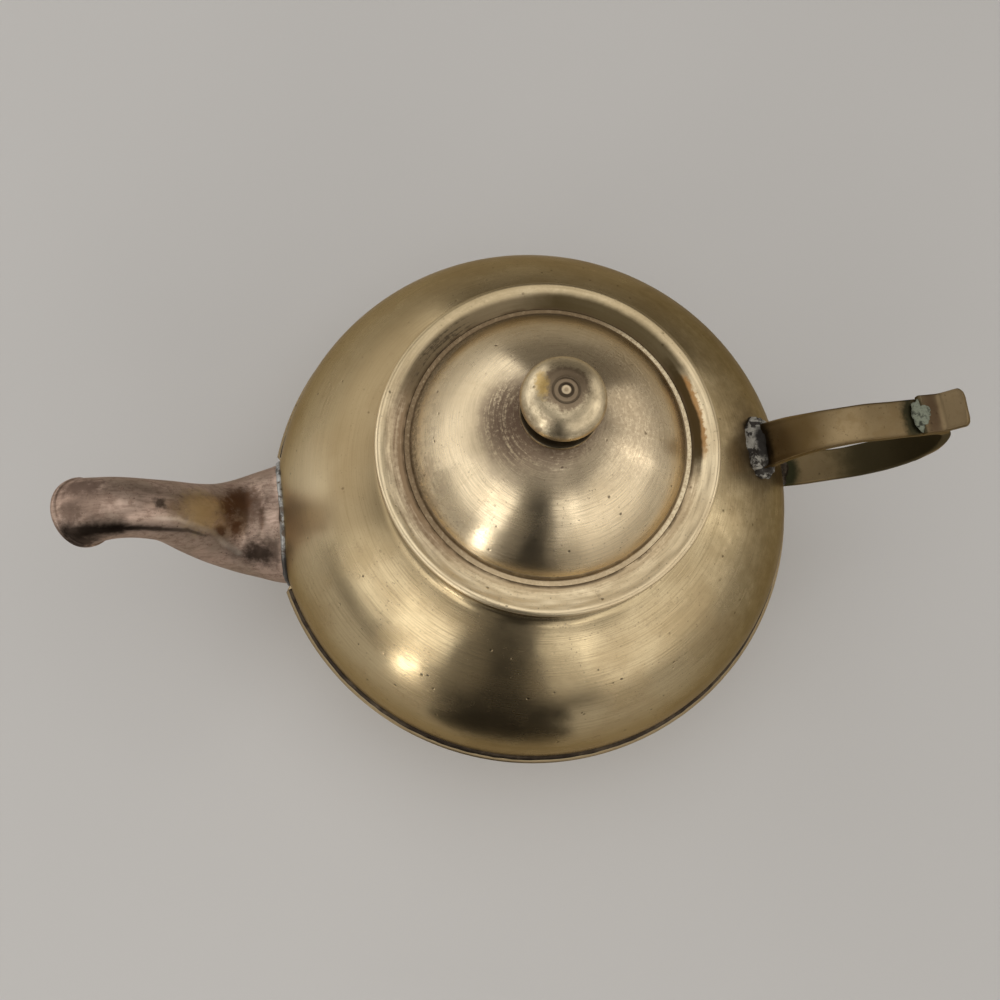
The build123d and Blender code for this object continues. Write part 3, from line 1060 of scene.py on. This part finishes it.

# Stains on the spout, and painted shadow in front of its root: place, size, colour, strength
spout_stains = (
    ((-98.5, 0.5, 77.8), (7.0, 4.8, 3.6), (0.22, 0.15, 0.11), 0.6),
    ((-99.0, 4.0, 77.0), (5.0, 2.2, 3.0), (0.10, 0.065, 0.05), 0.75),
    ((-101.0, -2.0, 77.5), (2.6, 2.2, 2.0), (0.10, 0.065, 0.05), 0.6),
    # dark patch in front of the spout's root: painted shadow with staining
    ((-66.0, -8.8, 49.5), (6.0, 3.4, 4.5), (0.13, 0.09, 0.07), 0.75),
    ((-69.0, 3.0, 52.6), (4.6, 6.0, 4.8), (0.13, 0.08, 0.055), 0.8),
    ((-70.0, 3.8, 52.8), (2.6, 3.0, 3.2), brown, 0.85),
    ((-72.6, 1.2, 57.0), (1.7, 2.4, 2.6), brown, 0.9),
    ((-74.1, -4.4, 57.4), (1.2, 1.4, 2.2), brown, 0.9),
    ((-71.1, -3.5, 53.9), (1.2, 1.9, 1.7), brown, 0.9),
    ((-72.0, -1.5, 55.4), (1.4, 2.4, 2.4), brown, 0.5),
    ((-76.5, -0.2, 63.4), (4.8, 4.6, 6.2), (0.60, 0.46, 0.27), 0.65),
    ((-100.9, -7.0, 71.8), (4.6, 1.7, 2.8), black, 0.9),
    ((-83.3, -0.4, 72.4), (1.3, 1.2, 1.3), black, 0.8),
    # near-black spot in front of the spout's root: painted shadow
    ((-67.0, -8.8, 49.2), (3.0, 2.2, 2.6), (0.04, 0.027, 0.02), 0.9),
)
# Lines along the spout: the ridge's painted highlight with wear in two parts, and the painted dark reflection
# with staining in front of it
ridge = ((-86.4, -3.6, 73.4), (-84.0, -3.5, 71.6), (-80.6, -3.4, 68.4), (-77.4, -4.2, 62.9))
ridge_foot = ((-77.4, -4.2, 62.9), (-75.2, -5.0, 58.6), (-73.6, -7.2, 53.2), (-71.6, -8.7, 49.6))
front_streak_line = (
    (-102.0, -5.4, 74.6),
    (-96.5, -5.6, 75.0),
    (-91.4, -5.5, 74.1),
    (-87.8, -5.4, 72.2),
    (-84.3, -5.4, 69.4),
    (-79.6, -5.2, 64.8),
    (-76.6, -6.0, 59.6),
)


def copper(name):
    """The spout: pinkish copper under brown stains, with a painted highlight and wear along its ridge, a
    painted dark reflection with staining along its front, and painted shadow in front of its root.
    """
    p = Paint(name)
    broad = p.noise(9.0, 3.0, 0.6)
    patches = p.noise(2.4, 5.0, 0.65, distort=0.5)
    grain = p.noise(0.5, 3.0, 0.7)
    colour = p.mix(p.fade(broad, 0.35, 0.65), (0.52, 0.385, 0.31), (0.41, 0.315, 0.245))
    colour = p.mix(p.fade(patches, 0.5, 0.68, 0.0, 0.5), colour, (0.23, 0.135, 0.095))
    colour = p.mix(p.both(p.fade(grain, 0.55, 0.7), p.fade(patches, 0.4, 0.6)), colour, (0.12, 0.08, 0.06))
    rough = p.fade(patches, 0.3, 0.7, 0.34, 0.5)
    streaks = p.noise(1.0, 5.0, 0.7, at=p.vector("MULTIPLY", p.place, (0.28, 1.7, 0.6)))
    colour = p.mix(p.fade(streaks, 0.45, 0.7, 0.0, 0.6), colour, (0.20, 0.135, 0.10))
    for place, size, tint, strength in spout_stains:
        share = p.times(p.near(place, size, 0.85, 1.3, 0.5), strength)
        colour = p.mix(share, colour, tint)
        rough = p.blend(share, rough, 0.5)
    # painted highlight along the ridge, with wear
    worn = p.either(p.path(ridge, (0.2, 0.42, 0.5), 0.9), p.path(ridge_foot, (0.55, 0.6, 0.7), 0.8))
    worn = p.both(worn, p.fade(p.x, -88.0, -79.0, 0.0, 0.6))
    colour = p.mix(worn, colour, ridge_highlight_and_wear)
    rough = p.blend(worn, rough, 0.34)
    # near-black streak along the spout's front: a painted dark reflection with staining
    dark_reflection_and_stain = p.path(front_streak_line, (2.3, 1.9, 0.8, 0.6, 0.5, 0.4), 0.7)
    dark_reflection_and_stain = p.both(dark_reflection_and_stain, p.fade(p.x, -92.0, -78.0, 0.97, 0.6))
    colour = p.mix(dark_reflection_and_stain, colour, (0.012, 0.008, 0.006))
    rough = p.blend(dark_reflection_and_stain, rough, 0.4)
    normal = p.bump(p.noise(4.0, 3.0, 0.5), 0.09)
    normal = p.bump(grain, 0.012, normal)
    metallic = p.either(p.fade(patches, 0.45, 0.75, 1.0, 0.75), dark_reflection_and_stain)
    return p.finish(colour, rough, metallic, normal, edge=(0.75, 0.65, 0.58))


def solder(name, pale, dark, size, metallic, roughness, relief, share, accent=None, pocket=None):
    """Crusted solder: two colours in patches of a size, matt and grainy, with a dark pocket."""
    p = Paint(name)
    patches = p.noise(size, 5.0, 0.65, distort=0.4)
    grain = p.noise(size * 0.28, 4.0, 0.7)
    colour = p.mix(p.fade(patches, *share), pale, dark)
    colour = p.mix(p.fade(grain, 0.5, 0.75, 0.0, 0.6), colour, darker(dark, 0.4))
    if accent:
        colour = p.mix(p.fade(p.noise(size * 1.7, 3.0, 0.6, distort=1.0), 0.55, 0.64), colour, accent)
    if pocket:
        colour = p.mix(p.near(*pocket, 0.4, 1.6, 0.25), colour, darker(dark, 0.6))
    return p.finish(colour, roughness, metallic, p.bump(grain, relief))


def body_marks(p):
    """Tarnish with painted shade towards the seam, on the shoulder, at the back and on the right; a rougher
    patch by the spout, painted lighter over its reflection; dirt with painted shade in the neck's cove,
    painted shadow under the lip, and dirt where pieces meet.
    """
    dirt = p.noise(2.4, 5.0, 0.65)
    cloudy = p.fade(dirt, 0.2, 0.7, 0.6, 1.0)
    turned = p.fade(p.noise(1.0, 5.0, 0.7, at=p.turned(1.6, 6.0)), 0.3, 0.6, 0.35, 1.0)
    shoulder = p.both(p.fall(p.reach, 46.0, 54.0), p.fade(p.x, -12.0, -30.0), p.fade(p.y, -22.0, -8.0))
    return (
        # darker towards the seam: tarnish with a painted dark reflection
        (p.fall(p.z, 44.0, 62.0), (0.24, 0.165, 0.075), 0.5, 0.3, 1.0),
        # darker on the left shoulder: tarnish with painted shade
        (shoulder, (0.24, 0.175, 0.09), 0.72, 0.34, 1.0),
        # darker at the back: tarnish with painted shade
        (p.both(p.fade(p.y, 5.0, 40.0), cloudy), (0.25, 0.185, 0.095), 0.45, 0.34, 1.0),
        # darker on the right: tarnish with painted shade
        (p.both(p.fade(p.x, 14.0, 50.0), cloudy), (0.14, 0.10, 0.045), 0.72, 0.34, 1.0),
        # rougher by the spout's root; its lighter colour is painted light over the spout's dark reflection
        (((-57.0, 0.0, 62.0), (10.0, 15.0, 14.0), 0.2, 6.0, 0.6), (0.64, 0.53, 0.35), 0.5, 0.44, 1.0),
        # darker in the neck's cove: dirt with painted shade
        (p.both(p.fade(p.z, 76.0, 82.0), turned), umber, 0.62, 0.42, 0.95),
        # painted shadow under the lip's overhang
        (p.fade(p.z, 81.0, 84.0), soot, 0.8, 0.5, 0.8),
        (p.both(p.fall(p.z, 40.5, 43.5), p.fade(dirt, 0.3, 0.6)), (0.08, 0.055, 0.035), 0.85, 0.55, 0.7),
        (((50.0, 0.0, 66.0), (7.0, 10.0, 7.0), 0.4, 2.5, 0.5), umber, 0.7, 0.45, 0.8),
        (((60.0, 0.0, 45.0), (6.0, 7.0, 6.0), 0.4, 2.5, 0.5), umber, 0.7, 0.45, 0.8),
    )


def below_marks(p):
    """Dirt on the lower bowl's turned-out edge."""
    return ((p.fade(p.reach, 63.9, 64.5), (0.20, 0.145, 0.08), 0.75, 0.42, 1.0),)


def rim_marks(p):
    """Brown film at the left, the lip's top and the back darker, grime with painted shade in bands from the
    back to the right, rust, dirt in the recess, and painted shadow under the lip.
    """
    wander = p.noise(5.5, 4.0, 0.6, distort=0.3)
    fine = p.noise(0.9, 5.0, 0.7)
    arcs = p.noise(1.0, 5.0, 0.7, at=p.turned(0.5, 2.6))
    start = recess_radius / mm
    floor = recess_floor / mm
    speckled = p.plus(p.reach, p.plus(p.times(arcs, 6.0), fine, 3.0))
    wandering = p.plus(p.reach, wander)

    def within(value, low, high):
        """Falls from 1 to 0 between two distances out from the recess."""
        return p.fall(value, start + low, start + high)

    inner = within(speckled, 4.9, 6.6)
    left = p.both(p.fade(p.x, -6.0, -22.0), p.fade(p.y, -27.0, -16.0))
    slant = p.fade(p.plus(p.y, p.x, 0.4), 4.0, 22.0)
    crest = p.both(p.fade(p.reach, 34.2, 35.0), slant, p.fade(arcs, 0.3, 0.6, 0.4, 1.0))
    rear = p.both(p.fade(p.y, 8.0, 26.0), p.fade(fine, 0.25, 0.6, 0.55, 1.0))
    back = p.both(p.near((-16.0, 28.0, 88.0), (26.0, 17.0, 9.0), 0.12, 4.0, 0.3), within(p.reach, 2.2, 3.6))
    far = p.both(p.near((20.0, 25.0, 88.0), (22.0, 17.0, 9.0), 0.12, 4.0, 0.3), within(wandering, 3.1, 4.6))
    spots = p.fade(p.plus(arcs, fine, 0.4), 0.68, 0.8)
    blots = p.both(p.near((-21.0, 23.5, 88.0), (9.0, 9.0, 5.0), 0.3, 3.0), spots)
    rust = within(p.plus(p.reach, fine, 2.4), 3.6, 4.3)
    rust = p.both(p.near((32.4, 3.5, 88.5), (6.0, 9.0, 9.0), 0.35, 2.0, 0.25), rust)
    deep = p.both(p.near((31.0, 4.0, 88.0), (6.0, 13.5, 9.0), 0.2, 2.5, 0.3), within(wandering, 2.1, 2.7))
    edge = p.both(within(p.reach, -0.1, 0.5), p.fade(wander, 0.35, 0.6))
    under = p.both(p.fall(p.z, 87.2, 88.0), p.fade(p.reach, 34.8, 35.4))
    return (
        (p.both(within(speckled, 6.0, 8.6), left), (0.27, 0.175, 0.115), 0.6, 0.42, 0.95),
        (p.both(inner, left), (0.17, 0.115, 0.07), 0.7, 0.45, 0.9),
        (inner, (0.30, 0.20, 0.11), 0.5, 0.4, 1.0),
        (crest, (0.30, 0.225, 0.12), 0.65, 0.4, 1.0),
        (rear, (0.40, 0.31, 0.175), 0.62, 0.4, 1.0),
        # grime with painted shade in bands near the lid, at the back and the right
        (back, (0.11, 0.08, 0.045), 0.78, 0.48, 0.95),
        (far, (0.055, 0.038, 0.015), 0.9, 0.45, 1.0),
        (p.both(blots, within(p.reach, 2.0, 3.2)), soot, 0.75, 0.55, 0.6),
        (rust, (0.34, 0.17, 0.05), 0.85, 0.42, 1.0),
        # grime with painted shade, deepest at the right
        (deep, (0.05, 0.033, 0.013), 0.95, 0.45, 1.0),
        (edge, umber, 0.8, 0.55, 0.7),
        (p.fall(p.z, floor + 0.3, floor + 1.0), umber, 0.95, 0.6, 0.5),
        # painted shadow under the lip
        (under, umber, 0.85, 0.5, 0.8),
    )


def lid_marks(p):
    """Film and dirt on the dome and round the knob, the far side darker with painted shade, dirt with painted
    shade under the knob's collar, and the soiled and worn flange.
    """
    brush = p.noise(1.0, 5.0, 0.72, at=p.turned(0.4, 1.5))
    fine = p.noise(0.7, 4.0, 0.75)
    rays = p.noise(1.0, 3.0, 0.6, at=p.vector("SCALE", p.round, scale=22.0))
    dome = dome_radius / mm
    flange = flange_radius / mm
    slant = p.minus(p.y, p.x)
    thin = p.fade(fine, 0.3, 0.62, 0.3, 1.0)
    film = p.both(p.near((13.0, 2.0, 102.0), (13.0, 14.0, 11.0), 0.4, 3.5, 0.6), thin)
    back = p.both(p.fade(p.y, 17.0, 27.0), p.fade(brush, 0.3, 0.7, 0.5, 1.0))
    patchy = p.fade(p.noise(2.0, 5.0, 0.7), 0.46, 0.6)
    side = p.both(p.band(p.reach, 24.5, 27.0, 3.0), p.fade(p.x, -16.0, -24.0), patchy)
    sparse = p.fade(p.plus(brush, fine, 0.5), 0.5, 0.78)
    halo = p.both(p.near((-3.8, -1.6, 104.6), 10.5, 0.25, 3.5, 0.5), sparse)
    streaky = p.fade(p.plus(fine, brush), 0.8, 1.05)
    stain = p.both(p.near((-9.6, 0.5, 104.4), (4.6, 7.5, 4.0), 0.3, 2.5, 0.6), streaky)
    outer = p.both(p.band(p.reach, 27.6, 31.0, 0.9), p.fade(p.z, 86.6, 87.0))
    skirt = p.both(outer, p.fade(slant, 4.0, 26.0), p.fade(fine, 0.34, 0.6))
    close = p.both(p.fall(p.plus(p.reach, brush, 6.0), 9.5, 13.5), p.fade(fine, 0.2, 0.6, 0.5, 1.0))
    ledge = p.both(p.fade(p.reach, dome - 0.1, dome + 0.3), p.fade(fine, 0.2, 0.55, 0.45, 1.0))
    uneven = p.fade(p.noise(3.0, 4.0), 0.3, 0.55, 0.4, 1.0)
    step = p.both(p.band(p.reach, dome - 0.25, dome + 0.15, 0.25), uneven)
    worn = p.both(p.band(p.reach, dome + 0.5, flange - 0.1, 0.2), p.fade(p.x, 12.0, 24.0))
    return (
        (p.fade(rays, 0.5, 0.72), (0.50, 0.37, 0.20), 0.15, 0.34, 1.0),
        (film, (0.34, 0.25, 0.16), 0.6, 0.36, 1.0),
        # the far side of the dome darker: film with painted shade
        (back, (0.36, 0.26, 0.14), 0.55, 0.36, 1.0),
        (side, plum, 0.3, 0.45, 0.9),
        (((-15.0, 6.0, 100.0), (9.0, 13.0, 10.0), 0.3, 5.0, 0.6), (0.50, 0.41, 0.27), 0.55, 0.3, 1.0),
        (halo, (0.18, 0.12, 0.085), 0.8, 0.46, 0.95),
        (stain, (0.11, 0.07, 0.05), 0.7, 0.46, 1.0),
        (skirt, umber, 0.7, 0.48, 0.85),
        (close, (0.11, 0.07, 0.045), 0.8, 0.5, 0.8),
        # dirt with painted shade under the knob's collar
        (p.fall(p.reach, 5.4, 7.4), soot, 0.8, 0.5, 0.7),
        (ledge, (0.40, 0.30, 0.18), 0.8, 0.45, 1.0),
        (p.both(ledge, p.fade(slant, -14.0, 12.0)), (0.17, 0.115, 0.065), 0.8, 0.46, 1.0),
        (step, umber, 0.7, 0.5, 0.8),
        (p.both(worn, p.fade(fine, 0.4, 0.55)), (0.80, 0.68, 0.46), 0.7, 0.3, 1.0),
    )


def knob_marks(p):
    """Dirt round the ball and in its crown's rings, a worn pip, dirt with painted shade in the groove under
    the ball, and painted shadow on the neck under the collar.
    """
    blotch = p.noise(1.5, 4.0, 0.65)
    fine = p.noise(0.5, 5.0, 0.75)
    wander = p.plus(p.reach, p.plus(blotch, fine), 3.0)
    wander = p.minus(wander, p.fade(p.y, -3.0, 3.0))
    crown = p.fade(p.z, 118.0, 118.8)
    dirty = p.both(p.fall(wander, 6.0, 7.6), p.fade(p.z, 117.2, 118.2))
    film = p.both(p.fade(p.noise(2.6, 5.0, 0.7), 0.46, 0.6), p.fade(fine, 0.3, 0.62, 0.4, 1.0))
    mottle = p.both(p.near((-5.0, -5.0, 116.0), 5.0, 0.3, 2.0), p.fade(blotch, 0.48, 0.58))
    collar = p.both(p.band(p.z, 108.3, 109.6, 0.2), p.fade(blotch, 0.4, 0.6))
    return (
        (film, (0.36, 0.285, 0.18), 0.5, 0.4, 1.0),
        (dirty, (0.16, 0.11, 0.07), 0.85, 0.42, 0.95),
        (p.both(p.band(p.reach, 1.0, 1.35, 0.2), crown), soot, 0.85, 0.5, 0.7),
        (p.both(p.fall(p.reach, 0.7, 0.95), crown), (0.62, 0.50, 0.33), 0.75, 0.3, 1.0),
        (p.both(p.fall(p.reach, 0.25, 0.5), crown), (0.24, 0.17, 0.10), 0.6, 0.4, 1.0),
        (p.both(p.band(p.reach, 2.25, 2.55, 0.15), crown), soot, 0.55, 0.5, 0.7),
        (((-3.9, 1.4, 119.0), (1.3, 2.6, 1.6), 0.6, 0.6), (0.62, 0.42, 0.14), 0.7, 0.45, 0.9),
        (mottle, (0.25, 0.18, 0.12), 0.5, 0.5, 1.0),
        (collar, (0.2, 0.14, 0.08), 0.5, 0.4, 1.0),
        # near black in the groove under the ball: dirt with painted shade
        (p.band(p.z, 109.5, 111.2, 0.35), (0.02, 0.014, 0.008), 0.97, 0.5, 1.0),
        # painted shadow on the neck under the collar
        (p.fall(p.z, 108.0, 108.4), soot, 0.9, 0.55, 0.6),
    )


def handle_marks(p):
    """Tarnish in patches, tarnish with painted shade inside the loop, and dark dirt round the solder and in
    the bends.
    """
    patches = p.noise(3.4, 3.0, 0.6)
    specks = p.both(p.fade(p.noise(0.8, 3.0, 0.7), 0.62, 0.7), p.fade(p.noise(4.0), 0.45, 0.6))
    slant = p.minus(p.z, p.times(p.x, 0.7))
    under = p.both(p.fall(slant, 15.0, 17.0), p.fade(p.x, 93.7, 93.0))
    tab = p.fade(p.z, 80.6, 81.2)
    return (
        (p.fade(patches, 0.5, 0.62), (0.22, 0.15, 0.07), 0.5, 0.45, 1.0),
        (p.fade(p.math("ABSOLUTE", p.y), 3.3, 3.95), (0.13, 0.09, 0.045), 0.6, 0.4, 1.0),
        (p.both(p.fade(p.x, 90.6, 91.6), tab), (0.12, 0.085, 0.05), 0.6, 0.4, 1.0),
        # inside the loop, darker and near black towards its right: tarnish with painted shade
        (under, (0.15, 0.11, 0.055), 0.6, 0.5, 0.95),
        (p.both(p.fade(p.plus(p.x, patches, 6.0), 76.0, 87.0), under), (0.035, 0.03, 0.014), 0.85, 0.55, 0.8),
        (tab, (0.19, 0.14, 0.08), 0.6, 0.45, 1.0),
        (specks, umber, 0.7, 0.5, 0.8),
        (((76.0, 0.0, 60.0), (2.6, 3.0, 4.0), 0.4, 1.6), (0.16, 0.06, 0.025), 0.6, 0.5, 0.8),
        (((58.0, 0.0, 74.0), (5.5, 7.0, 5.0), 0.3, 2.0, 0.5), (0.15, 0.092, 0.032), 0.72, 0.42, 1.0),
        (((81.2, 0.0, 82.0), (2.2, 6.0, 3.0), 0.4, 1.3), (0.025, 0.026, 0.014), 0.92, 0.45, 1.0),
        (((85.0, 0.0, 83.6), (1.7, 6.0, 3.0), 0.3, 1.6, 0.5), (0.10, 0.06, 0.035), 0.75, 0.45, 0.95),
        (((51.6, 0.0, 69.4), (1.9, 6.0, 2.4), 0.35, 1.6), (0.02, 0.015, 0.01), 0.9, 0.45, 1.0),
        (((64.5, 0.0, 44.0), (3.6, 6.0, 3.8), 0.3, 1.6), (0.022, 0.025, 0.012), 0.93, 0.45, 1.0),
    )


# Brass: clean colour, dull colour, roughness, marks, speckle, pits, brushing, and what else differs
olive, tan = (0.60, 0.485, 0.295), (0.43, 0.315, 0.168)
bright, ochre = (0.83, 0.69, 0.46), (0.69, 0.54, 0.33)
polished, honey = (0.82, 0.685, 0.47), (0.70, 0.555, 0.35)
soft, amber = (0.76, 0.645, 0.44), (0.62, 0.50, 0.32)
aged, dusky = (0.28, 0.205, 0.11), (0.205, 0.145, 0.072)
brasses = {
    "body brass": (olive, tan, 0.22, body_marks, 0.3, 0.75, 0.45, {}),
    "body brass below": (olive, tan, 0.30, below_marks, 0.45, 0.7, 0.35, {"down": 1.0}),
    "rim brass": (bright, ochre, 0.34, rim_marks, 0.3, 0.6, 0.3, {}),
    "lid brass": (polished, honey, 0.225, lid_marks, 0.25, 0.8, 0.42, {"turn": 0.55}),
    "knob brass": (soft, amber, 0.27, knob_marks, 0.35, 0.6, 0.35, {"turn": 0.35}),
    "handle brass": (aged, dusky, 0.38, handle_marks, 0.25, 0.9, 0.0, {"wave": 0.05, "turn": 0.0}),
}
# Solder: pale and dark colour, patch size, metal, roughness, relief, share of dark, a third colour, a pocket
ash, slate, rusty = (0.44, 0.44, 0.42), (0.10, 0.09, 0.08), (0.14, 0.11, 0.085)
bronze, tar = (0.085, 0.065, 0.045), (0.04, 0.03, 0.022)
chalk, coal = (0.42, 0.40, 0.35), (0.03, 0.024, 0.018)
verdigris, moss = (0.235, 0.255, 0.19), (0.035, 0.038, 0.025)
spout_pocket = ((-61.0, -13.0, 44.0), (5.0, 5.0, 8.0))
root_pocket = ((51.9, 0.5, 70.0), (2.5, 4.4, 3.2))
solders = {
    "grey solder": (ash, slate, 2.0, 0.7, 0.42, 0.1, (0.44, 0.62), rusty, spout_pocket),
    "dark solder": (bronze, tar, 5.0, 1.0, 0.45, 0.1, (0.36, 0.6)),
    "pale solder": (chalk, coal, 2.2, 0.2, 0.7, 0.25, (0.45, 0.55), None, root_pocket),
    "green solder": (verdigris, moss, 1.7, 0.0, 0.8, 0.25, (0.5, 0.62)),
}


def materials():
    """Every material of the pot, by its name."""
    made = {name: brass(name, *given[:-1], **given[-1]) for name, given in brasses.items()}
    made["spout copper"] = copper("spout copper")
    for name, given in solders.items():
        made[name] = solder(name, *given)
    return made


def cover(obj, material):
    """Gives an object one material."""
    obj.data.materials.clear()
    obj.data.materials.append(material)


# Surroundings

# Lamps: azimuth, elevation, distance, width, height, radiance, colour
lamps = (
    (-135, 0.5, 1.0, 0.12, 0.12, 9.0, (1.0, 0.99, 0.97)),
    (-137, 24, 1.0, 0.36, 0.48, 1.4, (1.0, 0.99, 0.97)),
    (-163, 24, 1.0, 0.50, 0.56, 0.95, (1.0, 0.99, 0.97)),
    (142, 17, 1.1, 1.75, 0.68, 1.0, (1.0, 0.99, 0.98)),
    (-40, 21, 1.1, 1.45, 0.75, 0.8, (1.0, 0.98, 0.95)),
    (12, 15, 1.1, 0.95, 0.55, 0.75, (1.0, 0.98, 0.95)),
    (-82, 24, 1.0, 0.26, 0.56, 0.5, (1.0, 0.98, 0.95)),
    (-84, 36, 1.0, 0.46, 0.16, 0.5, (1.0, 0.98, 0.95)),
    (40, 88, 1.2, 1.40, 1.40, 0.8, (1.0, 0.995, 0.98)),
)
# Dark cards in front of the pot: distance, and half widths at rising heights
card_azimuth = -104
tall_card = (
    (0.10, 0),
    (0.09, 0.05),
    (0.05, 0.075),
    (0.034, 0.09),
    (0.03, 0.19),
    (0.045, 0.22),
    (0.045, 0.3),
    (0.02, 0.36),
)
low_card = ((0.028, 0), (0.042, 0.012), (0.044, 0.024), (0.034, 0.036), (0.014, 0.043))
cards = ((0.26, tall_card), (0.125, low_card))
floor_half = 3.0


def flat_piece(name, cover_name, corners, colours, grain, roughness):
    """A flat matt piece with one face, placed beside the pot."""
    mesh = bpy.data.meshes.new(name)
    mesh.from_pydata(corners, [], [range(len(corners))])
    piece = bpy.data.objects.new(name, mesh)
    bpy.context.scene.collection.objects.link(piece)
    paint = Paint(cover_name)
    shade = paint.mix(paint.noise(grain), *colours)
    mesh.materials.append(paint.finish(shade, roughness, 0.0))
    return piece


def add_lamp(azimuth, elevation, away, wide, high, level, tint):
    """A soft lamp that faces the pot and that the camera doesn't see."""
    middle = Vector((0, 0, 70 * mm))
    a = math.radians(azimuth)
    e = math.radians(elevation)
    data = bpy.data.lights.new("lamp", "AREA")
    data.shape = "RECTANGLE"
    data.size = wide
    data.size_y = high
    data.energy = 4 * wide * high * level
    data.color = tint
    lamp = bpy.data.objects.new("lamp", data)
    towards = Vector((math.cos(e) * math.cos(a), math.cos(e) * math.sin(a), math.sin(e)))
    lamp.location = middle + towards * away
    lamp.rotation_euler = (middle - lamp.location).to_track_quat("-Z", "Y").to_euler()
    lamp.visible_camera = False
    bpy.context.scene.collection.objects.link(lamp)


def add_card(away, outline):
    """A dark card that only the pot's reflections show."""
    corners = [(-half, 0, height) for half, height in outline]
    corners += [(half, 0, height) for half, height in outline[::-1]]
    blacks = ((0.02, 0.018, 0.016), (0.03, 0.026, 0.022))
    card = flat_piece("dark card", "card cover", corners, blacks, 50.0, 0.9)
    a = math.radians(card_azimuth)
    card.location = Vector((math.cos(a) * away, math.sin(a) * away, 0.001))
    card.rotation_euler = (0, 0, a + math.pi / 2)
    card.visible_camera = False
    card.visible_shadow = False
    card.visible_diffuse = False


def studio():
    """Pale floor, even grey surroundings, soft lamps and two dark cards in front."""
    world = bpy.data.worlds.new("studio")
    world.use_nodes = True
    world.node_tree.nodes["Background"].inputs["Color"].default_value = (0.17, 0.155, 0.135, 1.0)
    bpy.context.scene.world = world
    corners = [(x * floor_half, y * floor_half, 0) for x, y in ((-1, -1), (1, -1), (1, 1), (-1, 1))]
    greys = ((0.595, 0.583, 0.57), (0.63, 0.618, 0.606))
    flat_piece("floor", "floor cover", corners, greys, 160.0, 0.6)
    for lamp in lamps:
        add_lamp(*lamp)
    for card in cards:
        add_card(*card)
    bpy.context.scene.view_settings.view_transform = "Standard"


def main():
    """Builds and paints every piece, each on its body and in its CAD node's place."""
    add_camera()
    bowls = hollow_shape("bowls", 0.45 * mm)
    upper = make_upper()
    lower = make_lower()
    holes = drills()
    trimmed(upper, holes)
    trimmed(lower, holes, keep_cutter=False)
    foot = make_foot()
    trimmed(foot, bowls)
    spout_bead = bead("spout_solder_bead", spout_foot_line(0.1 * mm, 260), 0.85 * mm, bowls, 0.25, seed=9.0)
    dressed = (
        (upper, "pot", "body_upper", "body_brass", "body brass"),
        (lower, "pot", "body_lower", "body_brass", "body brass below"),
        (foot, "pot", "foot_ring", "body_brass", "body brass below"),
        (make_rim(), "pot", "neck_rim", "rim_brass", "rim brass"),
        (make_spout(bowls), "pot", "spout", "spout_copper", "spout copper"),
        (make_strap(bowls), "pot", "handle_strap", "handle_brass", "handle brass"),
        (make_tab(), "pot", "thumb_piece", "handle_brass", "handle brass"),
        (make_seam_solder(), "pot", "seam_solder", "dark_solder", "dark solder"),
        (spout_bead, "pot", "spout_solder", "grey_solder", "grey solder"),
        (make_lump("handle_top_solder", bowls), "pot", "handle_top_solder", "pale_solder", "pale solder"),
        (make_lump("handle_lower_solder", bowls), "pot", "handle_lower_solder", "dark_solder", "dark solder"),
        (make_lump("thumb_solder", bowls), "pot", "thumb_solder", "green_solder", "green solder"),
        (make_dome(), "lid", "lid_dome", "lid_brass", "lid brass"),
        (make_bezel(), "lid", "lid_bezel", "lid_brass", "lid brass"),
        (make_knob(), "lid", "knob", "knob_brass", "knob brass"),
    )
    bpy.data.objects.remove(bowls)
    made = materials()
    for piece, body, node, slot, material in dressed:
        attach(piece, body)
        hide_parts(node)
        cover(piece, made[material])
    cover(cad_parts["knob_washer"], made["lid brass"])


main()
studio()
